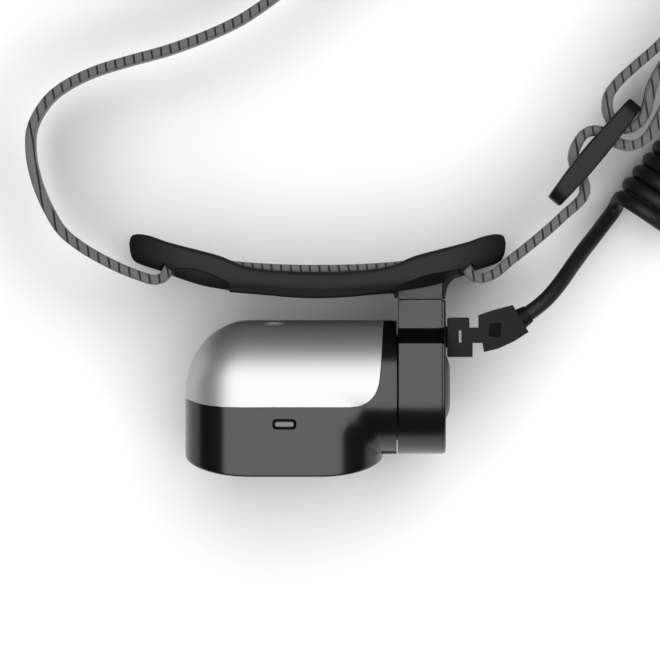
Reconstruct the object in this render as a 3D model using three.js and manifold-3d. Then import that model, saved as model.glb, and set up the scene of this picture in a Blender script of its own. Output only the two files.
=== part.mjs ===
// Headlamp with a rear battery pack. Millimetres, +Z up, the lamp shines towards -Y.
// The headlamp stands on the lower edge of its forehead bracket and of its rear cradle. Outlines are
// measured from the middle of the bracket's front face, and the whole model is moved at the end so that
// the origin lies in the middle of the bracket's lower edge.

import * as THREE from 'three';
import { mergeVertices } from 'three/addons/utils/BufferGeometryUtils.js';
import Module from 'manifold-3d';

const wasm = await Module();
wasm.setup();

// Driving dimensions.
const GAP = 0.3;                 // clearance between pieces that touch
const ABOVE = 50;                // higher than every piece, for cuts that go all the way up
const MID_Z = 22.4;              // height of the hinge axis, the strap's middle and the slots' middle
const BRACKET_HEIGHT = MID_Z + 14.5;
const CRADLE_HEIGHT = 2 * MID_Z;
const PLATE_MIDDLE = 2.4;        // from the bracket's front face to the middle of its thickness

const AXIS_Y = -18.1;            // hinge axis, along X
const HINGE_R = 13.36;           // radius of the lamp's back, of its shoulder and of the arm
const LAMP_LEFT = -26.4;
const LAMP_RIGHT = 13.1;
const LAMP_FRONT = -36;
const FRONT_CORNER_R = 0.8;
const END_CORNER_R = 10.5;       // rounding of the lamp's left end, seen from the front
const FRONT_CORNER = { x: 13, r: 12 };  // the same for the right end of the lamp's front
const END_ELLIPSE = { x: -13.5, rx: 12.9, ry: 14.55 };
const SHOULDER_RIGHT = 15.8;
const WALL = 1.6;

const ARM_LEFT = 16.1;
const ARM_RIGHT = 24.6;
const COVER_RIGHT = 25.66;
const NECK_HALF = 6.3;
// The arm's flanks fall gently as far as y, then step down to the neck at footY.
const ARM_FLANK = { slope: Math.PI / 18, y: -9.3, footY: -6.4 };
const SEAM_Y = -0.56;            // joint between the arm's neck and the boss on the bracket
const AXLE_R = 4;
const BUTTON_R = 6.3;

const STRAP_T = 2;
const STRAP_W = 25;
const SLIDER = { x: 55.4, y: 28.8, dx: 0.64, dy: 0.768, length: 25.4, end: 2.5, middle: 3.3, width: 30 };
const CORD_D = 3.1;
const COIL = { x: 64, y: 14.8, dx: 0.63, dy: 0.776, length: 51, r: 7.5, axisZ: 7.8 };

const CRADLE = { left: 25, right: 99, y: 96, sag: 3.5, thickness: 3, slotWidth: 3.4, bar: 3 };
const CASE = { x0: 30, x1: 94, y0: 103.4, y1: 121, z0: MID_Z - 19, z1: MID_Z + 19, r: 5 };
const CELL = { r: 5.25, pitch: 11.2, y: 110.7 };
const DOOR_Y = 117.2;            // inner face of the battery door
const DOOR_AXIS = { y: 119.1, z: MID_Z + 17.1 };

// Colours and finishes.
const finish = (color, roughness, metalness = 0) => () =>
  new THREE.MeshStandardMaterial({ color, roughness, metalness });
const rubberyBlack = finish(0x222222, 0.75);
const glossBlack = finish(0x181818, 0.35);
const satinSilver = finish(0xc4c6c8, 0.3, 1);
const webbingGrey = finish(0x707070, 0.9);
const cableBlack = finish(0x202020, 0.6);
const windowGrey = finish(0x5a5a5a, 0.4);
const clear = finish(0xe8eef2, 0.05);
const mirrorCoat = finish(0xe6e6e6, 0.08, 1);
const steel = finish(0x9a9a9a, 0.3, 1);
const boardGreen = finish(0x1d4a2c, 0.6);
const phosphor = finish(0xf2d94a, 0.5);
const sealGrey = finish(0x3a3a3a, 0.8);
const cellGrey = finish(0x8c9096, 0.4, 0.4);

// Solids: three.js shapes are turned into closed solids that can be joined and cut.

function solidOf(geometry) {
  const bare = geometry.index ? geometry.toNonIndexed() : geometry.clone();
  bare.deleteAttribute('normal');
  bare.deleteAttribute('uv');
  const merged = mergeVertices(bare, 1e-4);
  return new wasm.Manifold(new wasm.Mesh({
    numProp: 3,
    vertProperties: new Float32Array(merged.attributes.position.array),
    triVerts: new Uint32Array(merged.index.array),
  }));
}

function geometryOf(solid) {
  const mesh = solid.getMesh();
  const geometry = new THREE.BufferGeometry();
  geometry.setAttribute('position', new THREE.BufferAttribute(mesh.vertProperties, 3));
  geometry.setIndex(new THREE.BufferAttribute(mesh.triVerts, 1));
  geometry.computeVertexNormals();
  return geometry;
}

function shapeOf(outline) {
  if (outline instanceof THREE.Shape) return outline;
  return new THREE.Shape(outline.map(([a, b]) => new THREE.Vector2(a, b)));
}

function extruded(outline, depth, basis, offset, curveSegments) {
  const settings = { depth, bevelEnabled: false, curveSegments };
  const geometry = new THREE.ExtrudeGeometry(shapeOf(outline), settings);
  geometry.applyMatrix4(new THREE.Matrix4().makeBasis(...basis).setPosition(...offset));
  return solidOf(geometry);
}

const X = new THREE.Vector3(1, 0, 0);
const Y = new THREE.Vector3(0, 1, 0);
const Z = new THREE.Vector3(0, 0, 1);
const alongX = (outline, x0, x1, curve = 8) => extruded(outline, x1 - x0, [Y, Z, X], [x0, 0, 0], curve);
const alongZ = (outline, z0, z1, curve = 8) => extruded(outline, z1 - z0, [X, Y, Z], [0, 0, z0], curve);
const alongY = (outline, y0, y1, curve = 5) =>
  extruded(outline, y1 - y0, [X, Z, Y.clone().negate()], [0, y1, 0], curve);

function block(x0, x1, y0, y1, z0, z1) {
  const geometry = new THREE.BoxGeometry(x1 - x0, y1 - y0, z1 - z0);
  geometry.translate((x0 + x1) / 2, (y0 + y1) / 2, (z0 + z1) / 2);
  return solidOf(geometry);
}

// A turned piece: the profile holds [radius, distance along the axis] pairs.
function turned(profile, axis, at, sides = 24) {
  const geometry = new THREE.LatheGeometry(profile.map(([r, s]) => new THREE.Vector2(r, s)), sides);
  const turn = new THREE.Quaternion().setFromUnitVectors(Y, axis);
  geometry.applyMatrix4(new THREE.Matrix4().makeRotationFromQuaternion(turn).setPosition(...at));
  return solidOf(geometry);
}

const rod = (r, s0, s1, axis, at, sides = 24) =>
  turned([[0, s0], [r, s0], [r, s1], [0, s1]], axis, at, sides);
const ring = (inner, outer, s0, s1, axis, at, sides = 24) =>
  turned([[inner, s0], [outer, s0], [outer, s1], [inner, s1], [inner, s0]], axis, at, sides);
const HINGE = [0, AXIS_Y, MID_Z];

function roundedRect(cx, cy, w, h, r) {
  const shape = new THREE.Shape();
  shape.absarc(cx + w / 2 - r, cy + h / 2 - r, r, 0, Math.PI / 2);
  shape.absarc(cx - w / 2 + r, cy + h / 2 - r, r, Math.PI / 2, Math.PI);
  shape.absarc(cx - w / 2 + r, cy - h / 2 + r, r, Math.PI, 1.5 * Math.PI);
  shape.absarc(cx + w / 2 - r, cy - h / 2 + r, r, 1.5 * Math.PI, 2 * Math.PI);
  return shape;
}

const smoothCurve = (points) =>
  new THREE.CatmullRomCurve3(points.map(([x, y, z = 0]) => new THREE.Vector3(x, y, z)), false, 'centripetal');

// A flat band that stands on edge: the plan path is widened to its thickness and extruded upwards.
function ribbon(points, thickness, width, spacing = 2.6) {
  const curve = smoothCurve(points);
  const steps = Math.ceil(curve.getLength() / spacing);
  const left = [];
  const right = [];
  for (let i = 0; i <= steps; i += 1) {
    const p = curve.getPointAt(i / steps);
    const t = curve.getTangentAt(i / steps);
    left.push([p.x - t.y * thickness / 2, p.y + t.x * thickness / 2]);
    right.push([p.x + t.y * thickness / 2, p.y - t.x * thickness / 2]);
  }
  return alongZ([...right, ...left.reverse()], MID_Z - width / 2, MID_Z + width / 2);
}

function tube(points, diameter, spacing) {
  const curve = smoothCurve(points);
  const section = new THREE.Shape();
  section.absarc(0, 0, diameter / 2, 0, 2 * Math.PI);
  const steps = Math.ceil(curve.getLength() / spacing);
  return solidOf(new THREE.ExtrudeGeometry(section, { steps, extrudePath: curve, curveSegments: 8 }));
}

const mirrored = (points) => points.map(([x, y]) => [-x, y]).reverse();

// The assembly.
const headlamp = new THREE.Group();
headlamp.position.y = -PLATE_MIDDLE;

function add(name, solid, material) {
  const mesh = new THREE.Mesh(geometryOf(solid), material());
  mesh.name = name;
  headlamp.add(mesh);
}

// Forehead bracket: a curved plate with an end bar and a strap slot on each side. The strap runs through
// tunnels in the thick ends and in a shallow recess across the middle.
const BRACKET_FRONT = [[-28.4, 3.9], [-23.4, 2.3], [-17.9, 1.3], [-11.2, 0.7], [-5.4, 0.2], [0, 0],
  [5.4, 0.2], [11.2, 0.7], [17.9, 1.3], [23.4, 2.3], [28.4, 3.9]];
const BRACKET_END = [[28.4, 3.9], [31.7, 5.2], [36.5, 7], [37, 7.7], [37.6, 9.1], [37.5, 11.9],
  [36.5, 12.4], [33.5, 12.1], [30, 10.8], [24.7, 9.5], [19.2, 7.9], [18.6, 6.6]];
const STRAP_INSIDE = [[-30.2, 4.9], [-29.6, 6.4], [-28, 7.3], [-25, 7.3], [-21, 6.7], [-17, 6.1], [-9, 5.5],
  [0, 5.3], [9, 5.5], [17, 6.1], [21, 6.7], [25, 7.3], [28, 7.3], [29.6, 6.4], [30.2, 4.9]];
const PLATE_T = 1.4;
const PLATE_END = { x: 25.7, y: 2.9 };

function bracketFace() {
  const half = 37.6;
  const shape = new THREE.Shape();
  shape.moveTo(-22, 0);
  shape.lineTo(22, 0);
  shape.bezierCurveTo(30, 0, half, 2, half, 8);
  shape.lineTo(half, BRACKET_HEIGHT - 8);
  shape.bezierCurveTo(half, BRACKET_HEIGHT - 2, 30, BRACKET_HEIGHT, 22, BRACKET_HEIGHT);
  shape.lineTo(-22, BRACKET_HEIGHT);
  shape.bezierCurveTo(-30, BRACKET_HEIGHT, -half, BRACKET_HEIGHT - 2, -half, BRACKET_HEIGHT - 8);
  shape.lineTo(-half, 8);
  shape.bezierCurveTo(-half, 2, -30, 0, -22, 0);
  return alongY(shape, -3, 16);
}

function bracketPlan() {
  const middle = [[11, 5.4], [0, 4.9], [-11, 5.4]];
  return [...BRACKET_FRONT.slice(0, -1), ...BRACKET_END, ...middle, ...mirrored(BRACKET_END).slice(0, -1)];
}

// The plate with its neck boss takes the front of the bracket between the slots.
function platePlan(back) {
  const offset = BRACKET_FRONT.map(([x, y]) => [x, y + back]).reverse();
  return [...BRACKET_FRONT.map(([x, y]) => [x, y - 0.5]), ...offset];
}

const slotHeight = STRAP_W + 1;
const armScrewZ = [MID_Z - 3.6, MID_Z + 3.6];
const armScrewX = 20.6;
const screwHole = (z, r) => rod(r, -10, 12, Y, [armScrewX, 0, z], 12);

function foreheadBracket() {
  let body = alongZ(bracketPlan(), 0, BRACKET_HEIGHT).intersect(bracketFace());
  body = body.subtract(alongZ(platePlan(PLATE_T + GAP), -1, BRACKET_HEIGHT + 1).subtract(
    alongZ([[-40, -3], [-26, -3], [-26, 9], [-40, 9]], -2, BRACKET_HEIGHT + 2)).subtract(
    alongZ([[26, -3], [40, -3], [40, 9], [26, 9]], -2, BRACKET_HEIGHT + 2)));
  const tunnel = [[-30.2, 1.5], ...STRAP_INSIDE, [30.2, 1.5]];
  body = body.subtract(ribbon(tunnel, STRAP_T + 2 * GAP, slotHeight));
  return body.subtract(screwHole(armScrewZ[0], 1.3)).subtract(screwHole(armScrewZ[1], 1.3));
}

function bracketFrontPlate() {
  const inner = BRACKET_FRONT.filter(([x]) => Math.abs(x) < 25);
  const front = [[-PLATE_END.x, PLATE_END.y], ...inner, [PLATE_END.x, PLATE_END.y]];
  const plan = [...front, ...front.map(([x, y]) => [x, y + PLATE_T]).reverse()];
  let body = alongZ(plan, 1.5, BRACKET_HEIGHT - 1.5);
  const boss = [[ARM_LEFT, 2.6], [ARM_LEFT, SEAM_Y + GAP / 2], [COVER_RIGHT, SEAM_Y + GAP / 2],
    [25.8, 1.2], [26.3, 2.4], [25.6, 3.6], [20, 2.4]];
  body = body.add(alongZ(boss, MID_Z - NECK_HALF, MID_Z + NECK_HALF));
  return body.subtract(screwHole(armScrewZ[0], 1.3)).subtract(screwHole(armScrewZ[1], 1.3));
}

add('forehead_bracket', foreheadBracket(), rubberyBlack);
add('bracket_front_plate', bracketFrontPlate(), rubberyBlack);

// Hinge arm: a hollow round housing with straight flanks that steps down to a flat-topped neck. A thin
// cover closes its right side.
function armOutline(r, neckHalf, neckEnd) {
  const { slope, y, footY } = ARM_FLANK;
  const tangent = [AXIS_Y + r * Math.sin(slope), r * Math.cos(slope)];
  const stepZ = tangent[1] - (y - tangent[0]) * Math.tan(slope);
  const shape = new THREE.Shape();
  shape.moveTo(neckEnd, MID_Z + neckHalf);
  shape.lineTo(footY, MID_Z + neckHalf);
  shape.lineTo(y, MID_Z + stepZ);
  shape.absarc(AXIS_Y, MID_Z, r, Math.PI / 2 - slope, 1.5 * Math.PI + slope);
  shape.lineTo(y, MID_Z - stepZ);
  shape.lineTo(footY, MID_Z - neckHalf);
  shape.lineTo(neckEnd, MID_Z - neckHalf);
  return shape;
}

const NECK_END = SEAM_Y - GAP / 2;
const BOOT_HOLE = [-10.2, -6];
const bootHole = (x0, x1, extra) =>
  block(x0, x1, BOOT_HOLE[0] - extra, BOOT_HOLE[1] + extra, MID_Z - 3 - extra, MID_Z + 3 + extra);

function hingeArm() {
  return alongX(armOutline(HINGE_R, NECK_HALF, NECK_END), ARM_LEFT, ARM_RIGHT, 32)
    .subtract(rod(11.3, 18, ARM_RIGHT + 1, X, HINGE, 32))
    .subtract(rod(AXLE_R + GAP, ARM_LEFT - 1, 19, X, HINGE))
    .subtract(bootHole(19, ARM_RIGHT + 1, GAP))
    .subtract(screwHole(armScrewZ[0], 0.7 + GAP))
    .subtract(screwHole(armScrewZ[1], 0.7 + GAP));
}

function armSideCover() {
  return alongX(armOutline(HINGE_R, NECK_HALF, NECK_END), ARM_RIGHT + GAP, COVER_RIGHT, 32)
    .subtract(rod(BUTTON_R + GAP, 20, 30, X, HINGE))
    .subtract(bootHole(20, 30, GAP));
}

add('hinge_arm', hingeArm(), glossBlack);
add('arm_side_cover', armSideCover(), glossBlack);
const ARM_SCREW = [[0, -4.4], [0.7, -4.4], [0.7, 2.5], [1, 2.5], [1, 3.2], [0, 3.2]];
for (const [i, z] of armScrewZ.entries()) {
  const screw = turned(ARM_SCREW, Y, [armScrewX, 0, z], 10);
  add(['arm_screw_lower', 'arm_screw_upper'][i], screw, steel);
}
add('friction_washer', ring(AXLE_R + 0.4, 8.5, 18.3, 18.9, X, HINGE), steel);
add('wave_spring', ring(AXLE_R + 0.6, 7.5, 19.2, 19.9, X, HINGE), steel);
const tactileSwitch = block(22.5, 23.1, AXIS_Y - 2, AXIS_Y + 2, MID_Z - 2, MID_Z + 2);
const switchBoard = rod(9, 21.9, 22.6, X, HINGE).add(tactileSwitch).subtract(bootHole(20, 24, 1));
add('switch_board', switchBoard, boardGreen);
add('cable_clamp', block(19.6, 21.4, -9.8, -6.6, MID_Z - 2.4, MID_Z + 2.4), glossBlack);

// Cable boot: a stiff root, a slotted waist that lets it bend, and a block that turns towards the band.
function cableBoot() {
  const root = block(COVER_RIGHT + GAP, 30.2, -12.1, -4.2, MID_Z - 5, MID_Z + 5);
  const waist = block(30, 33.2, -9.3, -6.2, MID_Z - 3.4, MID_Z + 3.4);
  const headPlan = [[32, -3.6], [32, -6.4], [32.9, -9.3], [33.3, -11], [36, -10.2], [42.2, -7.1],
    [39, -1.7], [35, -2.3]];
  const head = alongZ(headPlan, MID_Z - 4.4, MID_Z + 4.4);
  return bootHole(21.7, 26.5, 0).add(root).add(waist).add(head)
    .subtract(block(28.2, 28.9, -9.2, -6.8, 0, ABOVE))
    .subtract(rod(BUTTON_R + GAP, 25, 27, X, HINGE));
}
add('cable_boot', cableBoot(), cableBlack);

// Power button: a dome with a flange that holds it behind the cover.
const BUTTON = [[0, 23.9], [7.2, 23.9], [7.2, 24.6], [BUTTON_R, 24.6], [BUTTON_R, 25.9], [5.7, 26.25],
  [3.5, 26.45], [0, 26.5]];
add('power_button', turned(BUTTON, X, HINGE, 32), glossBlack);

// Lamp head. The body is a round back joined to a rounded front, trimmed to the plan outline.
function lampSection(inset) {
  const r = HINGE_R - inset;
  const c = Math.max(FRONT_CORNER_R - inset, 0.2);
  const front = LAMP_FRONT + inset;
  const shape = new THREE.Shape();
  shape.absarc(AXIS_Y, MID_Z, r, -Math.PI / 2, Math.PI / 2);
  shape.absarc(front + c, MID_Z + r - c, c, Math.PI / 2, Math.PI);
  shape.absarc(front + c, MID_Z - r + c, c, Math.PI, 1.5 * Math.PI);
  return shape;
}

function lampPlan(inset) {
  const back = AXIS_Y + HINGE_R + 0.02 - inset;
  const left = LAMP_LEFT + inset;
  const right = LAMP_RIGHT - inset;
  const front = LAMP_FRONT + inset;
  const { x, rx, ry } = END_ELLIPSE;
  const shape = new THREE.Shape();
  shape.moveTo(right, back);
  shape.lineTo(x, back);
  shape.absellipse(x, back - ry + inset, x - left, ry - inset, Math.PI / 2, Math.PI, false, 0);
  const frontRy = 4.6 - inset;
  const rightX = 0.4;
  shape.absellipse(x, front + frontRy, x - left, frontRy, Math.PI, 1.5 * Math.PI, false, 0);
  shape.absellipse(rightX, front + frontRy, right - rightX, frontRy, 1.5 * Math.PI, 2 * Math.PI, false, 0);
  return shape;
}

function lampEnds(inset) {
  const half = HINGE_R - inset;
  const r = END_CORNER_R - inset;
  const rightR = FRONT_CORNER.r - inset;
  const left = LAMP_LEFT + inset + r;
  const right = FRONT_CORNER.x - inset - rightR;
  const shape = new THREE.Shape();
  shape.absarc(right, MID_Z + half - rightR, rightR, 0, Math.PI / 2);
  shape.absarc(left, MID_Z + half - r, r, Math.PI / 2, Math.PI);
  shape.absarc(left, MID_Z - half + r, r, Math.PI, 1.5 * Math.PI);
  shape.absarc(right, MID_Z - half + rightR, rightR, 1.5 * Math.PI, 2 * Math.PI);
  return alongY(shape, -60, 10, 10);
}

function lampBarrel(inset) {
  const shape = new THREE.Shape();
  shape.absarc(AXIS_Y, MID_Z, HINGE_R - inset, -Math.PI / 2, 1.5 * Math.PI);
  return alongX(shape, END_ELLIPSE.x, LAMP_RIGHT - inset, 32);
}

function lampBody(inset) {
  const section = alongX(lampSection(inset), -30, 20, 16);
  const plan = alongZ(lampPlan(inset), 0, ABOVE, 8);
  return section.intersect(plan).intersect(lampEnds(inset)).add(lampBarrel(inset));
}

// The parting line of the rear shell in plan, moved by a clearance.
function shellRegion(shift) {
  const line = [[-28, -20.2], [-26.4, -20.3], [-23.6, -21.3], [-19.2, -22], [-16.3, -22.1], [6.6, -22.1],
    [8.6, -21.6], [11, -19.6], [12.1, -17.2], [12.6, -13.4], [12.9, -4.8], [12.9, 0]];
  const moved = line.map(([x, y]) => [x + (x > 6 ? shift : 0), y - shift]);
  return alongZ([...moved, [-28, 0]], 0, ABOVE);
}

const WINDOW = { x: -6.6, y: -25.5, w: 4.8, h: 2.1, r: 0.9 };
const windowRect = (grow) =>
  roundedRect(WINDOW.x, WINDOW.y, WINDOW.w + 2 * grow, WINDOW.h + 2 * grow, WINDOW.r);
const LENS = { x: -6.3, w: 29.6, h: 17, r: 3 };
const HOUSING_SCREWS = { x: [-19, 4.4], z: [MID_Z - 8.6, MID_Z + 8.6] };
const SPOT = { x: -12.4, r: 7.9 };
const FLOOD = { x: 2, r: 5.4 };
const lensRect = (grow) => roundedRect(LENS.x, MID_Z, LENS.w + 2 * grow, LENS.h + 2 * grow, LENS.r + grow);

function rearShell() {
  return lampBody(0).intersect(shellRegion(0)).subtract(lampBody(WALL))
    .subtract(rod(AXLE_R + GAP, 5, 20, X, HINGE));
}

function frontHousing() {
  const shoulder = rod(HINGE_R, 12.6, SHOULDER_RIGHT, X, HINGE, 64);
  return lampBody(0).add(shoulder).subtract(shellRegion(GAP)).subtract(lampBody(WALL))
    .subtract(alongY(lensRect(0), LAMP_FRONT - 1, LAMP_FRONT + 3))
    .subtract(alongZ(windowRect(GAP), MID_Z + 8, ABOVE))
    .subtract(rod(AXLE_R + GAP, 5, 20, X, HINGE));
}

function reflector({ x, r }) {
  const base = 2.7;
  const wall = 0.8;
  const waist = r * 0.72;
  const profile = [[base, 24.9], [base + wall, 24.9], [waist + wall, 27.2], [r + 0.4, 31.7],
    [r - 0.2, 31.7], [waist, 27.8], [base, 24.9]];
  return turned(profile, Y.clone().negate(), [x, 0, MID_Z], 32);
}

add('lamp_rear_shell', rearShell(), satinSilver);
add('lamp_front_housing', frontHousing(), glossBlack);
add('indicator_window', alongZ(windowRect(0), MID_Z + 11.9, MID_Z + 13.3), windowGrey);
const lensCover = alongY(lensRect(-GAP), -35.8, -33.4).intersect(lampBody(0.2))
  .add(alongY(lensRect(1), -34.1, -32.7).intersect(lampBody(WALL + GAP)));
add('lens_cover', lensCover, clear);
add('lens_seal', alongY(lensRect(0.8), -32.4, -31.9).intersect(lampBody(WALL + GAP))
  .subtract(alongY(lensRect(-0.7), -34, -31)), sealGrey);
add('spot_reflector', reflector(SPOT), mirrorCoat);
add('flood_reflector', reflector(FLOOD), mirrorCoat);
add('spot_led', block(SPOT.x - 1.7, SPOT.x + 1.7, -25.5, -24.6, MID_Z - 1.7, MID_Z + 1.7), phosphor);
add('flood_led', block(FLOOD.x - 1.7, FLOOD.x + 1.7, -25.5, -24.6, MID_Z - 1.7, MID_Z + 1.7), phosphor);

const HOUSING_SCREW = [[0, -26.1], [1.9, -26.1], [1.9, -24.6], [1, -24.6], [1, -15], [0, -15]];
let ledBoard = alongY(roundedRect(-7.2, MID_Z, 28, 20.4, 3), -24.3, -22.7);
let screwNumber = 1;
for (const x of HOUSING_SCREWS.x) {
  for (const z of HOUSING_SCREWS.z) {
    ledBoard = ledBoard.subtract(rod(1.3, -30, -20, Y, [x, 0, z], 12));
    add(`housing_screw_${screwNumber}`, turned(HOUSING_SCREW, Y, [x, 0, z], 12), steel);
    screwNumber += 1;
  }
}
add('led_board', ledBoard, boardGreen);
const coilOnBoard = block(-12, -4, -15.7, -12, MID_Z - 6, MID_Z + 2);
const capacitorOnBoard = block(-3, 2, -15.7, -11, MID_Z + 3, MID_Z + 8);
const driverBoard = block(-16, 3, -17, -15.6, MID_Z - 9, MID_Z + 9).add(coilOnBoard).add(capacitorOnBoard);
add('driver_board', driverBoard, boardGreen);
const AXLE_BORE = 2.2;
const AXLE = [[AXLE_BORE, 9.9], [6.2, 9.9], [6.2, 11.2], [AXLE_R, 11.2], [AXLE_R, 21.6],
  [AXLE_BORE, 21.6], [AXLE_BORE, 9.9]];
add('hinge_axle', turned(AXLE, X, HINGE), steel);
add('axle_nut', ring(AXLE_R + GAP, 7, 20.2, 21.5, X, HINGE, 24), steel);

// Strap. One webbing strap goes from the rear cradle round the left of the head, through the bracket,
// through the slider and round the right bar of the cradle, and its end is sewn round the slider.
const STRAP_LEFT = [[-30.3, 4.4], [-30.6, 3.6], [-31.6, 3.2], [-33.2, 3.4], [-34.9, 3.9],
  [-39.1, 5.5], [-43.9, 7.9], [-47.5, 10.1], [-51.1, 13.1], [-53.5, 16.9], [-55.5, 21.3],
  [-56.7, 25.3], [-57.3, 29.3], [-57, 33.7],
  [-54.1, 38.9], [-50.9, 41.7], [-45.1, 44.7], [-37.9, 47], [-29.9, 49.2], [-21.1, 52.5], [-15.3, 55.3],
  [-9.9, 58.9], [-3, 64.4], [5, 72.3], [13, 81.2], [18.6, 88], [21.9, 93.4], [23, 98.5],
  [25.2, 101.6], [28.2, 101.6], [29.7, 99], [29.4, 94.6], [26.4, 89.3], [21.4, 83.2], [17.5, 79]];
const STRAP_RIGHT = [[30.3, 4.4], [30.6, 3.6], [31.6, 3.3], [33.1, 3.7], [35.9, 4.9], [37.9, 6.7],
  [40.5, 8.7], [46.3, 13.5], [49.9, 16.8], [52, 18.6], [53.4, 20.5], [53.4, 22.3], [52.7, 23.9],
  [51.55, 25.9], [51.1, 28.05], [52, 30.7], [53.6, 32.7], [55.6, 33.2], [57.3, 32.6], [58.7, 31.4],
  [60, 30.7], [62.4, 30.1], [64.5, 30.7], [66.5, 32.5], [67.9, 34.8], [70.3, 39.4], [74.6, 46.5],
  [80.4, 54.8], [87.6, 65.2], [94.6, 77], [99.4, 88.4]];
const STRAP_RETURN = [[99.6, 88.9], [101, 94.5], [101, 99.2], [98.8, 101.7], [95.8, 101.6], [94.3, 99],
  [94.2, 94.5], [91.7, 87.5], [86.5, 77.5], [80.5, 67.5], [74.5, 58.4],
  [69, 51], [63.4, 46], [60, 42.8], [58.2, 40.2], [57.9, 37.7],
  [58.5, 35.7], [59.9, 34.3], [61.5, 33.6], [63.25, 34], [65, 35.6], [65.9, 37.9]];
const STRAP_ANCHOR = [[66, 38.3], [66.9, 42.1], [69.3, 46.6], [73.4, 52.5], [77.4, 58.3]];

add('strap_behind_bracket', ribbon(STRAP_INSIDE.slice(1, -1), STRAP_T - 0.2, STRAP_W), webbingGrey);
add('strap_left', ribbon(STRAP_LEFT, STRAP_T, STRAP_W), webbingGrey);
add('strap_right', ribbon(STRAP_RIGHT, STRAP_T, STRAP_W, 1.9), webbingGrey);
add('strap_return', ribbon(STRAP_RETURN, STRAP_T, STRAP_W, 1.9), webbingGrey);
add('strap_anchor_loop', ribbon(STRAP_ANCHOR, STRAP_T, STRAP_W), webbingGrey);

// Slider buckle: a flat frame with two slots, thicker across its middle bar.
function sliderBuckle() {
  const { x, y, dx, dy, length, end, middle, width } = SLIDER;
  const at = (s, n) => [x + s * dx - n * dy, y + s * dy + n * dx];
  const half = length / 2;
  const outline = [at(-half, -end / 2), at(-4, -middle / 2), at(4, -middle / 2), at(half, -end / 2),
    at(half, end / 2), at(4, middle / 2), at(-4, middle / 2), at(-half, end / 2)];
  const slot = (s0, s1) => alongZ([at(s0, -4), at(s1, -4), at(s1, 4), at(s0, 4)],
    MID_Z - slotHeight / 2, MID_Z + slotHeight / 2);
  return alongZ(outline, MID_Z - width / 2, MID_Z + width / 2)
    .subtract(slot(-8.4, -2.5)).subtract(slot(1.2, 9));
}
add('slider_buckle', sliderBuckle(), rubberyBlack);

// Rear cradle: a curved plate with a slot and a bar at each end, which carries the battery case.
function rearCradle() {
  const { left, right, y, sag, thickness, slotWidth, bar } = CRADLE;
  const middle = (left + right) / 2;
  const half = (right - left) / 2;
  const bow = (x) => y + sag * (1 - ((x - middle) / half) ** 2);
  const stations = Array.from({ length: 13 }, (_, i) => left + (i * (right - left)) / 12);
  const inner = stations.map((x) => [x, bow(x)]);
  const outer = stations.map((x) => [x, bow(x) + thickness]);
  const plan = [...inner, ...outer.reverse()];
  const slot = (x) => block(x, x + slotWidth, 90, 110, MID_Z - slotHeight / 2, MID_Z + slotHeight / 2);
  const pads = block(40, 84, 100.5, CASE.y0 - GAP, MID_Z - 15, MID_Z + 15);
  return alongZ(plan, 0, CRADLE_HEIGHT).add(pads)
    .subtract(slot(left + bar)).subtract(slot(right - bar - slotWidth));
}
add('rear_cradle', rearCradle(), rubberyBlack);

// Battery case: a tray for three cells, closed by a hinged door with a sliding latch.
// Its plan is a rounded rectangle that reaches past the door's face, so only its inner corners show.
const CASE_BACK = 123;
function caseRect(inset) {
  const w = CASE.x1 - CASE.x0 - 2 * inset;
  const h = CASE_BACK - CASE.y0 - 2 * inset;
  return roundedRect((CASE.x0 + CASE.x1) / 2, (CASE.y0 + CASE_BACK) / 2, w, h, CASE.r - inset);
}
const SOCKET = { x: CASE.x1, y: 110.7, r: 4 };
const onSocket = [0, SOCKET.y, MID_Z];

const LUGS = [42, 78];
const LUG_W = 4;
const doorPinHole = () => rod(1.1, 0, 120, X, [0, DOOR_AXIS.y, DOOR_AXIS.z], 12);

function batteryCase() {
  const tray = alongZ(caseRect(0), CASE.z0, CASE.z1)
    .subtract(alongZ(caseRect(WALL), CASE.z0 + WALL, CASE.z1 - WALL))
    .intersect(block(0, 120, 100, DOOR_Y - GAP, 0, ABOVE));
  const doorSwing = rod(3.1, CASE.x0 - 1, CASE.x1 + 1, X, [0, DOOR_AXIS.y, DOOR_AXIS.z], 32);
  let body = tray.subtract(doorSwing);
  for (const x of LUGS) {
    body = body.add(block(x, x + LUG_W, 114.5, 117.2, CASE.z1 - WALL, CASE.z1))
      .add(block(x, x + LUG_W, 116.8, CASE.y1 - 0.5, DOOR_AXIS.z - 1.7, CASE.z1));
  }
  return body.subtract(rod(SOCKET.r + GAP, 88, 98, X, onSocket)).subtract(doorPinHole());
}

function batteryDoor() {
  const panel = alongZ(caseRect(0), CASE.z0, CASE.z1).intersect(block(0, 120, DOOR_Y, CASE.y1, 0, ABOVE));
  const recess = block(52, 72, CASE.y1 - 1.6, CASE.y1 + 1, CASE.z0 - 1, CASE.z0 + 11);
  let door = panel.subtract(recess).subtract(doorPinHole());
  for (const x of LUGS) {
    door = door.subtract(block(x - GAP, x + LUG_W + GAP, 110, 125, DOOR_AXIS.z - 3.6, ABOVE));
  }
  return door;
}

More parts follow.
